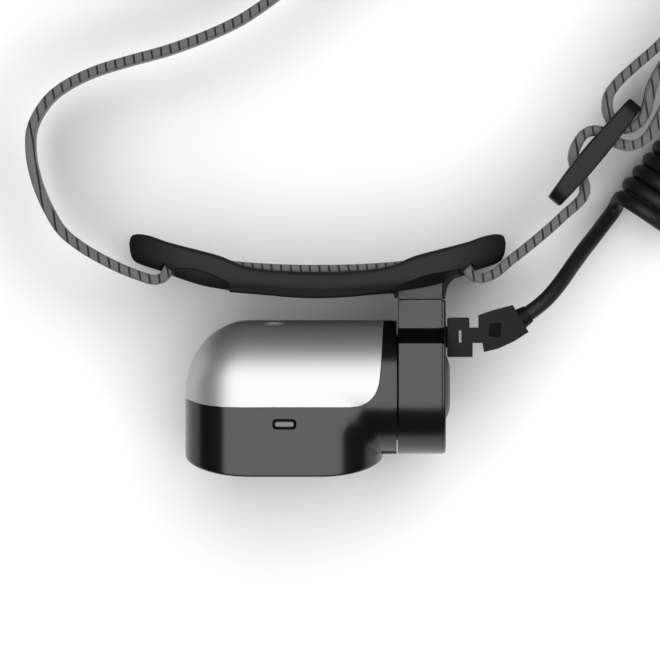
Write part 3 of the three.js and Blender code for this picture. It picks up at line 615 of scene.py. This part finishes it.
def crowned_ring(x, front, back, low, high, front_r, back_r):
    """A section across a curved bar: y from front to back, z from low to high, with round corners."""
    room = (back - front) * 0.49
    shrink = min(1, 2 * room / (front_r + back_r))
    f, b = front_r * shrink, back_r * shrink
    corners = (arc(back - b, high - b, b, 0, 90, 5) + arc(front + f, high - f, f, 90, 180, 7)
               + arc(front + f, low + f, f, 180, 270, 7) + arc(back - b, low + b, b, 270, 360, 5))
    return [(x, y, z) for y, z in corners]


front_y, back_y = reading(BRACKET_FRONT), reading(BRACKET_BACK)
stations = [BRACKET_HALF * math.sin(math.pi / 2 * i / 48) for i in range(-48, 49)]
rings = []
for x in stations:
    beyond = max(0, abs(x) - 22) / (BRACKET_HALF - 22)
    drop = 8 * (1 - math.sqrt(max(0, 1 - beyond ** 2)))
    y0, y1 = front_y(x), max(back_y(x), front_y(x) + 0.4)
    rings.append(crowned_ring(x, y0, y1, drop, BRACKET_TOP - drop, 2.6, 1.1))
bracket = loft("bracket", rings)
cut(bracket, slab("tunnel", widened(smooth_line(STRAP_TUNNEL, 1.0), 1.3), AXIS_Z - SLOT_TALL / 2,
                  AXIS_Z + SLOT_TALL / 2))
ridge_left, ridge_right = reading(RIDGE_LEFT), reading(RIDGE_RIGHT)
pocket = [(x, -3) for x in (-28.5, 28.5)] + [(x, front_y(x) + 1.5) for x in range(28, -29, -2)]
cut(bracket, slab("plate_pocket", pocket, 1.4, BRACKET_TOP - 3.2))
for side, read, x0, x1 in (("left", ridge_left, -28.5, LEFT_RIDGE_END),
                           ("right", ridge_right, RIGHT_RIDGE_START, 28.5)):
    xs = [x0 + (x1 - x0) * i / 12 for i in range(13)]
    cut(bracket, slab(side, [(x0, -3), (x1, -3)] + [(x, read(x) + 0.12) for x in reversed(xs)], 1.4, ABOVE))
smoothed(softened(bracket, 0.22, 2, 40), 40)
soft_touch = moulded_finish("soft_touch_plastic", grey(0.004), grey(0.009), 0.62, 0.14, 3600, 0.00002, 0.24)
fitted(bracket, soft_touch, "headband", "rubbery_black", "forehead_bracket")


# Bracket front plate. A stiffer plate clipped over the front of the bracket, with the boss that the arm
# stands on. Its ends come up to the crown with a raised ridge, and the boss runs into it in a fillet.
NECK_HALF = 6.3         # half height of the boss and of the arm's neck on it
BOSS = [(16.1, 3.2), (16.1, -0.53), (24.95, -0.53), (24.95, 4.6)]
BOSS_FILLET = [(24.5, 4.6), (25.05, -0.53), (25.5, -0.53), (25.6, 0.4), (25.75, 1.2), (26.0, 2.0),
               (26.5, 2.8), (27.3, 3.5), (28.4, 4.1), (28.2, 5.0)]
CLIP = [(14.0, 2.4), (14.0, 0.6), (15.3, 0.5), (15.4, -0.3), (16.3, -0.4), (16.3, 2.4)]
plate_stations = [-28.4 + 10.75 * i / 12 for i in range(13)] + [-17.55 + 33.0 * i / 30 for i in range(31)]
plate_stations += [15.65 + 12.75 * i / 14 for i in range(15)]
rings = []
for x in plate_stations:
    y0 = front_y(x) - (0.35 if LEFT_RIDGE_END < x < RIGHT_RIDGE_START else 0.0)
    ridge, top, low = y0 + 1.2, BRACKET_TOP - 3.5, BRACKET_TOP - 4.2
    if x < LEFT_RIDGE_END:
        ridge, top, low = ridge_left(x), BRACKET_TOP - 0.9, BRACKET_TOP - 2.0
    if x > RIGHT_RIDGE_START:
        ridge, top, low = ridge_right(x), BRACKET_TOP - 0.9, AXIS_Z + 7.4
    ridge = max(ridge, y0 + 0.5)
    back = max(ridge, y0 + 1.3)
    halfway = ((ridge + y0) / 2, (top + low) / 2 + 0.25)
    section = [(back, 1.7), (back, top - 0.1), (ridge, top), halfway, (y0, low), (y0, 2.6), (y0 + 0.3, 1.7)]
    rings.append([(x, y, z) for y, z in section])
plate = loft("front_plate", rings)
cut(plate, slab("boss_seat", BOSS, AXIS_Z - NECK_HALF, AXIS_Z + NECK_HALF))
combined(plate, softened(slab("boss_fillet", BOSS_FILLET, AXIS_Z - 5.9, AXIS_Z + 5.9), 0.3, 3, 50), "UNION")
clip = slab("clip", CLIP, AXIS_Z - 4, AXIS_Z + 4)
combined(plate, softened(clip, 0.1, 2), "UNION")
smoothed(plate, 32)
satin_black = moulded_finish("satin_plastic", grey(0.002), grey(0.005), 0.34, 0.1, 4200, 0.00001, 0.45)
plate_black = moulded_finish("plate_plastic", grey(0.002), grey(0.005), 0.5, 0.1, 4200, 0.00001, 0.14)
fitted(plate, plate_black, "headband", "rubbery_black", "bracket_front_plate")
boss = smoothed(softened(slab("boss", BOSS, AXIS_Z - NECK_HALF, AXIS_Z + NECK_HALF), 0.15, 2), 32)
fitted(boss, satin_black, "headband", "rubbery_black")


# Hinge arm. A round hollow housing on a flat-topped neck, moulded in semi-gloss black plastic, with a
# thin cover pressed into its right side around the power button.
ARM_R = 13.36
NECK_END = -0.57
BORE_R = 4.3            # hole for the hinge axle
FLANK_SLOPE = 10        # degrees that the flanks fall towards the neck
STEP_Y = -9.3
STEP_FOOT_Y = -6.4


def arm_outline(r, inset=0.0):
    """The side view: a round housing with straight flanks that steps down to the neck, as y and z pairs."""
    flank = math.radians(FLANK_SLOPE)
    top = (ARM_Y + r * math.sin(flank), r * math.cos(flank))
    step = (STEP_Y, top[1] - (STEP_Y - top[0]) * math.tan(flank))
    upper = [(NECK_END - inset, NECK_HALF), (STEP_FOOT_Y, NECK_HALF), step]
    ends = [(y, AXIS_Z + z) for y, z in upper], [(y, AXIS_Z - z) for y, z in reversed(upper)]
    return ends[0] + arc(ARM_Y, AXIS_Z, r, 90 - FLANK_SLOPE, 270 + FLANK_SLOPE, 84) + ends[1]


def disc(name, r, x0, x1, steps=96):
    return side_slab(name, arc(ARM_Y, AXIS_Z, r, 0, 360, steps)[:-1], x0, x1)


def boot_hole(name, x0, x1):
    return front_slab(name, rounded_box(x0, x1, AXIS_Z - 3.3, AXIS_Z + 3.3, 0.6), -10.5, -5.7)


arm = side_slab("arm", arm_outline(ARM_R), 16.1, 24.92)
softened(arm, 0.16, 3, 40)
cut(arm, disc("cup", 11.3, 18.0, 26), disc("axle_bore", BORE_R, 15, 19), boot_hole("boot_hole", 19, 26))
smoothed(arm, 30)
gloss_black = moulded_finish("semi_gloss_plastic", grey(0.002), grey(0.004), 0.22, 0.06, 5200, 0.000006, 0.47)
fitted(arm, gloss_black, "headband", "gloss_black", "hinge_arm")

cover = side_slab("side_cover", arm_outline(ARM_R - 0.04, 0.1), 24.0, 25.64)
softened(cover, 0.5, 4, 50)
cut(cover, side_slab("joint", arm_outline(ARM_R + 1, -1), 23, 24.94),
    disc("button_hole", BUTTON_ROOM_R, 20, 30), boot_hole("boot_hole", 20, 30))
smoothed(softened(cover, 0.1, 2, 50), 30)
fitted(cover, gloss_black, "headband", "gloss_black", "arm_side_cover")


# Painted shade in the hinge gap. A thin black ring on the hinge axle, in the nylon finish, fills the gap
# between the lamp's shoulder and the arm. It is sized to the dark line in that gap and stands in for the
# shade there.
# The ring below (washer) is a dark piece that paints the shade in the gap between lamp and arm.
washer = cut(disc("gap_shade_ring", 10.6, 15.83, 16.07), disc("gap_shade_ring_bore", 4.6, 15, 17))
fitted(smoothed(washer, 30), nylon, "headband", "gloss_black")


# Power button. A domed moulded rubber button with a shallow dished top, held behind the cover by its
# flange.
BUTTON_PROFILE = [(7.2, 23.9), (7.2, 24.6), (6.35, 24.6), (6.35, 25.5), (6.3, 25.66), (6.15, 25.78),
                  (5.7, 26.0), (5.1, 26.22), (4.5, 26.38), (3.9, 26.47), (3.4, 26.47), (2.8, 26.38),
                  (1.5, 26.3), (0.01, 26.28)]


def turned(name, profile, axis_y, axis_z, steps=64):
    """A turned piece on an axis along X, from pairs of a radius and an x."""
    turns = [2 * math.pi * i / steps for i in range(steps)]
    ways = [(math.cos(turn), math.sin(turn)) for turn in turns]
    return loft(name, [[(x, axis_y + r * c, axis_z + r * s) for c, s in ways] for r, x in profile])


button = smoothed(turned("power_button_cap", BUTTON_PROFILE, ARM_Y, AXIS_Z), 32)
button_rubber = moulded_finish("button_rubber", grey(0.004), grey(0.008), 0.42, 0.1, 4200, 0.00002, 0.4)
fitted(button, button_rubber, "button", "gloss_black", "power_button")


# Lamp head, rear shell. The bare satin aluminium half of the lamp body, which carries the heat of the
# light-emitting diodes, meets the black front housing at a fine seam and stops at the hinge shoulder.
LAMP_LEFT, LAMP_RIGHT = -26.4, 13.1
FRONT_RIGHT = 13.0      # right end of the front, where it has sunk into the round shoulder
FRONT_END_R = 12.0
BLEND = 2.4             # how softly the front runs into the shoulder
END_R = 10.5            # rounding of the left end, seen from the front
SHOULDER_RIGHT = 15.8
SHELL_WALL = 1.6
SEAM = 0.12
SEAM_LINE = [(-26.4, -20.3), (-23.6, -21.35), (-19.4, -21.98), (-16.3, -22.1), (-8, -22.1), (2, -22.1),
             (6.6, -22.1)]
SEAM_CORNER = [(6.6, -22.1), (8.6, -21.78), (10.3, -20.85), (11.4, -19.6), (12.1, -17.9), (12.45, -15.8),
               (12.72, -12.4), (13.05, -5.0)]


def eased(value, start, end):
    t = min(1, max(0, (value - start) / (end - start)))
    return t * t * (3 - 2 * t)


def lamp_ring(x, inset):
    """The section of the lamp body at an x: a round back and a flat top with a sharp brow. Both ends of the
    front are rounded off, and on the right it runs into the round shoulder. The inset makes the hollow."""
    half, left, right = ARM_R - inset, LAMP_LEFT + inset, FRONT_RIGHT - inset
    end_r = (END_R if x < 0 else FRONT_END_R) - inset
    beside = max(0, left + end_r - x, x - right + end_r)
    fall = end_r - math.sqrt(max(0, end_r ** 2 - beside ** 2)) + 30 * max(0, x - right)
    toward = min(1, max(0, (-13.5 - x) / (-13.5 - left)))
    back = -19.3 + (14.56 - inset) * math.sqrt(1 - toward ** 2)
    centre = ARM_Y - 2.2 * toward ** 8
    ahead = min(1, max(0, (-13.4 - x) / (-13.4 - left)))
    after = min(1, max(0, (x - 0.4) / (LAMP_RIGHT - inset - 0.4)))
    front = -31.45 + inset - 4.55 * math.sqrt(1 - max(ahead, after) ** 2)

    def top(y):
        """The height above the axis: the round back and the flat front, blended by how far each falls."""
        out = ARM_Y - y
        roll = half - math.sqrt(half ** 2 - out ** 2) if out < half else half + 8 * (out - half)
        if x < left + end_r or fall == 0:
            return half - fall
        least, apart = min(fall, roll), abs(fall - roll)
        fillet = BLEND * eased(least, 0, 0.9)
        return max(0.02, half - least + max(0, fillet - apart) ** 2 / max(4 * fillet, 1e-6))

    points = []
    high = half - fall if x < left + end_r else half
    for i in range(41):
        turn = math.pi * (i / 40 - 0.5)
        points.append((x, centre + (back - centre) * math.cos(turn), high * math.sin(turn)))
    brow = min(0.45, 0.8 * top(front))
    ys = [centre + (front + brow - centre) * math.sin(math.pi / 2 * i / 24) for i in range(1, 24)]
    upper = [(x, y, top(y)) for y in ys]
    edge = top(front + brow)
    upper += [(x, y, z) for y, z in arc(front + brow, edge - brow, brow, 90, 180, 5)]
    points += upper
    points += [(x, front, (edge - brow) * (1 - 2 * i / 6)) for i in range(1, 6)]
    points += [(px, py, -pz) for px, py, pz in reversed(upper)]
    return [(px, py, pz + AXIS_Z) for px, py, pz in points]


def lamp_form(name, inset, right):
    left = LAMP_LEFT + inset
    xs = [left + (END_R - inset) * (1 - math.cos(math.pi / 2 * i / 20)) for i in range(20)]
    xs += [left + END_R - inset + (0.4 - left - END_R + inset) * i / 16 for i in range(16)]
    xs += [0.4 + (min(right, LAMP_RIGHT - inset) - 0.4) * math.sin(math.pi / 2 * i / 30) for i in range(31)]
    if right > LAMP_RIGHT:
        xs += [right]
    return loft(name, [lamp_ring(x, inset) for x in xs])


def shell_region(name, grow):
    seam = smooth_line(SEAM_LINE, 1.0) + smooth_line(SEAM_CORNER, 0.5)[1:]
    line = [(-28, seam[0].y - grow)]
    for before, spot, after in zip([seam[0]] + seam[:-1], seam, seam[1:] + [seam[-1]]):
        along = (after - before).normalized()
        line.append((spot.x + along.y * grow, spot.y - along.x * grow))
    line += [(13.2 + grow, 0), (-28, 0)]
    return slab(name, line, 5, 40)


# A shallow dimple in the shell's back edge, cut by a ball that is stretched along the edge.
DIMPLE, DIMPLE_R, DIMPLE_STRETCH = (-8.65, -4.3, 27.6), 2.1, 1.5
rear_shell = combined(lamp_form("rear_shell", 0, LAMP_RIGHT), shell_region("region", 0), "INTERSECT")
cut(rear_shell, lamp_form("hollow", SHELL_WALL, LAMP_RIGHT - SHELL_WALL), disc("bore", BORE_R, 5, 20))
deselect()
bpy.ops.mesh.primitive_uv_sphere_add(segments=48, ring_count=24, radius=DIMPLE_R * MM,
                                     location=(DIMPLE[0] * MM, DIMPLE[1] * MM + FACE, DIMPLE[2] * MM))
dimple = bpy.context.object
deselect()
activate(dimple)
dimple.scale.x = DIMPLE_STRETCH
bpy.ops.object.transform_apply(location=True, scale=True)
cut(rear_shell, dimple)
smoothed(rear_shell, 30)


def satin_metal_finish():
    """Bead-blasted and clear-anodised aluminium, with a fine even sparkle and slow clouds of sheen."""
    material, shader, place = new_finish("satin_aluminium")
    clouds = noise(place, 60, 3)
    grain = noise(place, 7000, 2, 0.7)
    tone = clouds * 0.7 + grain * 0.3
    connect(shader, "Base Color", colour_between(place, tone, (0.425, 0.428, 0.434), (0.485, 0.488, 0.494)))
    connect(shader, "Roughness", 0.49 + 0.05 * (clouds - 0.5) + 0.05 * (grain - 0.5))
    shader.inputs["Metallic"].default_value = 0.85
    raise_surface(shader, grain, 0.2, 0.000006)
    return material


aluminium = satin_metal_finish()
fitted(rear_shell, aluminium, "lamp", "satin_silver", "lamp_rear_shell")


# Lamp head, front housing. Semi-gloss black plastic around the lens, with a sharp brow over it and a
# round shoulder on the right that turns against the arm. It is screwed to the rear shell from inside.
WINDOW_X, WINDOW_Y, WINDOW_W, WINDOW_D = -6.6, -25.5, 4.8, 2.1
LENS_X, LENS_W, LENS_H, LENS_R = -6.3, 29.6, 17, 3


def window_slab(name, shrink, z0, z1):
    w, d = WINDOW_W / 2 - shrink, WINDOW_D / 2 - shrink
    outline = rounded_box(WINDOW_X - w, WINDOW_X + w, WINDOW_Y - d, WINDOW_Y + d, 0.75 - shrink * 0.6, 6)
    return slab(name, outline, AXIS_Z + z0, AXIS_Z + z1)


def lens_slab(name, grow, y0, y1):
    w, h = LENS_W / 2 + grow, LENS_H / 2 + grow
    outline = rounded_box(LENS_X - w, LENS_X + w, AXIS_Z - h, AXIS_Z + h, LENS_R + grow, 8)
    return front_slab(name, outline, y0, y1)


housing = lamp_form("front_housing", 0, SHOULDER_RIGHT)
cut(housing, shell_region("region", SEAM), lamp_form("hollow", SHELL_WALL, LAMP_RIGHT - SHELL_WALL),
    disc("bore", BORE_R, 5, 20), lens_slab("lens_opening", 0, -40, -33),
    window_slab("window_hole", 0, 10, 20))
smoothed(housing, 30)
fitted(housing, gloss_black, "lamp", "gloss_black", "lamp_front_housing")


# Charge indicator. A small grey diffusing window, moulded in polycarbonate and pressed into a raised matt
# black rim on top of the housing.
rim = window_slab("window_rim", 0.04, 11.9, 13.3)
cut(rim, window_slab("window_well", 0.46, 12.5, 20))
smoothed(softened(rim, 0.2, 4, 40), 40)
rim_black = moulded_finish("matt_rim", grey(0.002), grey(0.004), 0.8, 0.1, 4200, 0.00001, 0.04)
fitted(rim, rim_black, "lamp", "gloss_black")
window = softened(window_slab("window_pane", 0.5, 12.4, 12.85), 0.06, 2, 40)
smoothed(window)
pane_grey = moulded_finish("grey_pane", grey(0.10), grey(0.13), 0.3, 0.05, 3000, 0.000005)
fitted(window, pane_grey, "lamp", "window_grey", "indicator_window")


# Lens cover. One clear moulded polycarbonate plate over both reflectors, clipped in from the inside, with
# its outer face almost level with the housing. It faces down when the lamp is not tilted.
lens = lens_slab("lens_plate", -0.3, -35.85, -33.4)
combined(lens, lamp_form("lens_limit", 0.2, LAMP_RIGHT - 0.2), "INTERSECT")
combined(lens, lens_slab("lens_flange", 0.9, -34.1, -32.7), "UNION")
smoothed(softened(lens, 0.15, 2, 40), 30)


def clear_finish():
    """Clear polycarbonate with faint moulding flow."""
    material, shader, place = new_finish("clear_lens")
    flow = noise(place, 120, 2)
    connect(shader, "Base Color", colour_between(place, flow, (0.93, 0.95, 0.96), (0.97, 0.98, 0.98)))
    connect(shader, "Roughness", 0.05 + 0.03 * flow)
    shader.inputs["Transmission Weight"].default_value = 1.0
    shader.inputs["IOR"].default_value = 1.5
    return material


clear = clear_finish()
fitted(lens, clear, "lamp", "clear", "lens_cover")


# Rear cradle. A curved plate of the same soft-touch plastic that carries the battery case on two low
# pads, with a strap slot and a round bar at each end.
CRADLE_LEFT, CRADLE_RIGHT, CRADLE_TOP = 25, 99, 2 * AXIS_Z
AROUND_CRADLE = (90, 110)   # y in front of the cradle and behind it
CRADLE_Y, CRADLE_SAG, CRADLE_T, CRADLE_BAR, CRADLE_SLOT = 96, 3.5, 3, 3, 3.4


def cradle_line(offset):
    middle, half = (CRADLE_LEFT + CRADLE_RIGHT) / 2, (CRADLE_RIGHT - CRADLE_LEFT) / 2
    xs = [CRADLE_LEFT + (CRADLE_RIGHT - CRADLE_LEFT) * i / 36 for i in range(37)]
    return [(x, CRADLE_Y + offset + CRADLE_SAG * (1 - ((x - middle) / half) ** 2)) for x in xs]


cradle = slab("cradle", cradle_line(0) + cradle_line(CRADLE_T)[::-1], 0, CRADLE_TOP)
cradle_face = rounded_box(CRADLE_LEFT, CRADLE_RIGHT, 0, CRADLE_TOP, 6, 10)
combined(cradle, front_slab("cradle_face", cradle_face, *AROUND_CRADLE), "INTERSECT")
for left in (CRADLE_LEFT + CRADLE_BAR, CRADLE_RIGHT - CRADLE_BAR - CRADLE_SLOT):
    low, high = AXIS_Z - SLOT_TALL / 2, AXIS_Z + SLOT_TALL / 2
    strap_slot = rounded_box(left, left + CRADLE_SLOT, low, high, 1.2, 5)
    cut(cradle, front_slab("strap_slot", strap_slot, *AROUND_CRADLE))
for low, high in ((AXIS_Z - 15, AXIS_Z - 7), (AXIS_Z + 7, AXIS_Z + 15)):
    combined(cradle, front_slab("pad", rounded_box(40, 84, low, high, 2, 5), 100.5, 103.1), "UNION")
smoothed(softened(cradle, 0.7, 4, 40), 35)
fitted(cradle, soft_touch, "headband", "rubbery_black", "rear_cradle")


# Battery case. A moulded tray for three round cells, with rounded corners, grip ribs on its left end and
# two knuckles along its top edge for the door's hinge pin.
CASE_X0, CASE_X1, CASE_Y0, CASE_Y1, CASE_R = 30, 94, 103.4, 121, 5
CASE_Z0, CASE_Z1 = AXIS_Z - 19, AXIS_Z + 19
DOOR_Y, DOOR_GAP, CASE_WALL = 117.2, 0.3, 1.6
DOOR_PIN_Y, DOOR_PIN_Z, PIN_HOLE_R = 119.1, AXIS_Z + 17.1, 1.1
PAST_DOOR = 127         # a y and an x beyond the case and its door, for cuts that go right through
LUGS, LUG_W = (42, 78), 4
LUG_SIDE = [(114.5, CASE_Z1 - CASE_WALL), (117, CASE_Z1 - CASE_WALL), (117, DOOR_PIN_Z - 1.7),
            (120.5, DOOR_PIN_Z - 1.7), (120.5, CASE_Z1 - 0.6), (119.9, CASE_Z1), (114.5, CASE_Z1)]
SOCKET_Y, SOCKET_R = 110.7, 4


def case_slab(name, inset, y0, y1):
    """The case's plan, rounded at its inner corners, between two planes."""
    plan = rounded_box(CASE_X0 + inset, CASE_X1 - inset, CASE_Y0 + inset, PAST_DOOR, CASE_R - inset, 8)
    piece = slab(name, plan, CASE_Z0 + inset, CASE_Z1 - inset)
    part = slab(name + "_part", rounded_box(0, PAST_DOOR, y0, y1, 0.1, 1), 0, ABOVE)
    return combined(piece, part, "INTERSECT")


def pin_hole(name, r):
    return turned(name, [(r, CASE_X0 - 2), (r, CASE_X1 + 2)], DOOR_PIN_Y, DOOR_PIN_Z, 32)


case = case_slab("battery_case_body", 0, 100, DOOR_Y - DOOR_GAP)
cut(case, case_slab("case_hollow", CASE_WALL, 100, 130), pin_hole("door_swing", 3.1))
for x in LUGS:
    combined(case, side_slab("knuckle", LUG_SIDE, x, x + LUG_W), "UNION")
for i in range(5):
    z = AXIS_Z - 8 + 4 * i
    rib = rounded_box(107, 115, z - 0.6, z + 0.6, 0.5, 4)
    combined(case, side_slab("grip_rib", rib, CASE_X0 - 0.5, CASE_X0 + 0.4), "UNION")
socket_hole = [(SOCKET_R + DOOR_GAP, 88), (SOCKET_R + DOOR_GAP, 98)]
cut(case, turned("socket_hole", socket_hole, SOCKET_Y, AXIS_Z, 48), pin_hole("pin_hole", PIN_HOLE_R))
smoothed(softened(case, 0.35, 3, 50), 35)
fitted(case, satin_black, "headband", "gloss_black", "battery_case")


# Battery door. The outer face of the case, hinged along its top edge on a steel pin, with a shallow
# framed panel of ribs to grip it by and a recess for the latch.
LATCH_RECESS = rounded_box(52, 72, CASE_Z0 - 6, CASE_Z0 + 11, 1.5, 5)
PANEL = rounded_box(38, 86, AXIS_Z - 5, AXIS_Z + 10, 2, 6)
door = case_slab("battery_door_panel", 0, DOOR_Y, CASE_Y1)
door_face = front_slab("door_face", rounded_box(CASE_X0, CASE_X1, CASE_Z0, CASE_Z1, 2.5, 8), 110, 125)
combined(door, door_face, "INTERSECT")
cut(door, front_slab("latch_recess", LATCH_RECESS, CASE_Y1 - 1.6, PAST_DOOR),
    front_slab("panel_recess", PANEL, CASE_Y1 - 0.5, PAST_DOOR), pin_hole("pin_hole", PIN_HOLE_R))
for x in LUGS:
    knuckle_gap = rounded_box(x - DOOR_GAP, x + LUG_W + DOOR_GAP, 110, PAST_DOOR, 0.1, 1)
    cut(door, slab("knuckle_gap", knuckle_gap, DOOR_PIN_Z - 3.6, ABOVE))
for i in range(6):
    z = AXIS_Z - 3.2 + 2.3 * i
    rib = rounded_box(41, 83, z - 0.55, z + 0.55, 0.5, 4)
    combined(door, front_slab("grip_rib", rib, CASE_Y1 - 0.8, CASE_Y1 - 0.05), "UNION")
smoothed(softened(door, 0.22, 3, 50), 35)
fitted(door, satin_black, "battery_door", "gloss_black", "battery_door")


# Door latch. A moulded nylon slide in the door's recess, ribbed for the thumb, that catches behind the
# case's lower lip.
LATCH_X0, LATCH_X1, LATCH_Z0, LATCH_Z1 = 52.5, 71.5, CASE_Z0 + 0.3, CASE_Z0 + 7
latch_face = rounded_box(LATCH_X0, LATCH_X1, LATCH_Z0, LATCH_Z1, 0.9, 5)
latch = front_slab("latch_slide", latch_face, CASE_Y1 - 1.3, CASE_Y1 + 0.2)
for i in range(7):
    x = LATCH_X0 + 3.2 + 2.1 * i
    rib = rounded_box(x - 0.5, x + 0.5, LATCH_Z0 + 1.2, LATCH_Z1 - 1.2, 0.45, 4)
    combined(latch, front_slab("thumb_rib", rib, CASE_Y1 - 0.2, CASE_Y1 + 0.6), "UNION")
smoothed(softened(latch, 0.16, 2, 50), 35)
fitted(latch, nylon, "door_latch", "rubbery_black", "door_latch")



# Small parts inside the lamp, the arm and the case. They are plain turned, pressed or moulded parts,
# so they keep their solids and take the finish that each one has.


def metal_finish(name, dark, light, rough, brushed):
    """Bare metal: a fine brushed grain over slow patches of sheen."""
    material, shader, place = new_finish(name)
    patches = noise(place, 200, 3)
    grain = noise(place, 5000, 2, 0.6)
    connect(shader, "Base Color", colour_between(place, patches * 0.5 + grain * 0.5, dark, light))
    connect(shader, "Roughness", rough + 0.08 * (patches - 0.5) + 0.1 * brushed * (grain - 0.5))
    shader.inputs["Metallic"].default_value = 1.0
    raise_surface(shader, grain, 0.3 * brushed, 0.00001)
    return material


steel = metal_finish("zinc_plated_steel", (0.48, 0.48, 0.50), (0.60, 0.60, 0.62), 0.3, 1.0)
mirror_coat = metal_finish("vacuum_metallised", (0.86, 0.86, 0.87), (0.92, 0.92, 0.93), 0.09, 0.1)
cell_sleeve = metal_finish("cell_sleeve", (0.24, 0.26, 0.29), (0.30, 0.32, 0.35), 0.36, 0.2)
board = moulded_finish("solder_mask", (0.006, 0.035, 0.014), (0.012, 0.055, 0.022), 0.4, 0.1, 2500, 0.00001)
phosphor = moulded_finish("phosphor", (0.80, 0.62, 0.06), (0.90, 0.74, 0.12), 0.5, 0.1, 4000, 0.000005)
seal_rubber = moulded_finish("seal_rubber", grey(0.03), grey(0.05), 0.7, 0.1, 3600, 0.00001)
SMALL_PARTS = {
    steel: ["arm_screw_upper", "arm_screw_lower", "friction_washer", "wave_spring", "hinge_axle", "axle_nut",
            "housing_screw_1", "housing_screw_2", "housing_screw_3", "housing_screw_4", "door_hinge_pin",
            "contact_spring_1", "contact_spring_2", "contact_spring_3"],
    mirror_coat: ["spot_reflector", "flood_reflector"],
    cell_sleeve: ["cell_1", "cell_2", "cell_3"],
    board: ["switch_board", "led_board", "driver_board", "contact_board"],
    phosphor: ["spot_led", "flood_led"],
    seal_rubber: ["lens_seal", "door_seal"],
    gloss_black: ["cable_clamp", "cable_socket"],
    jacket: ["cable_plug"],
}
for finish, names in SMALL_PARTS.items():
    for name in names:
        for material_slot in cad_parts[name].material_slots:
            material_slot.material = finish
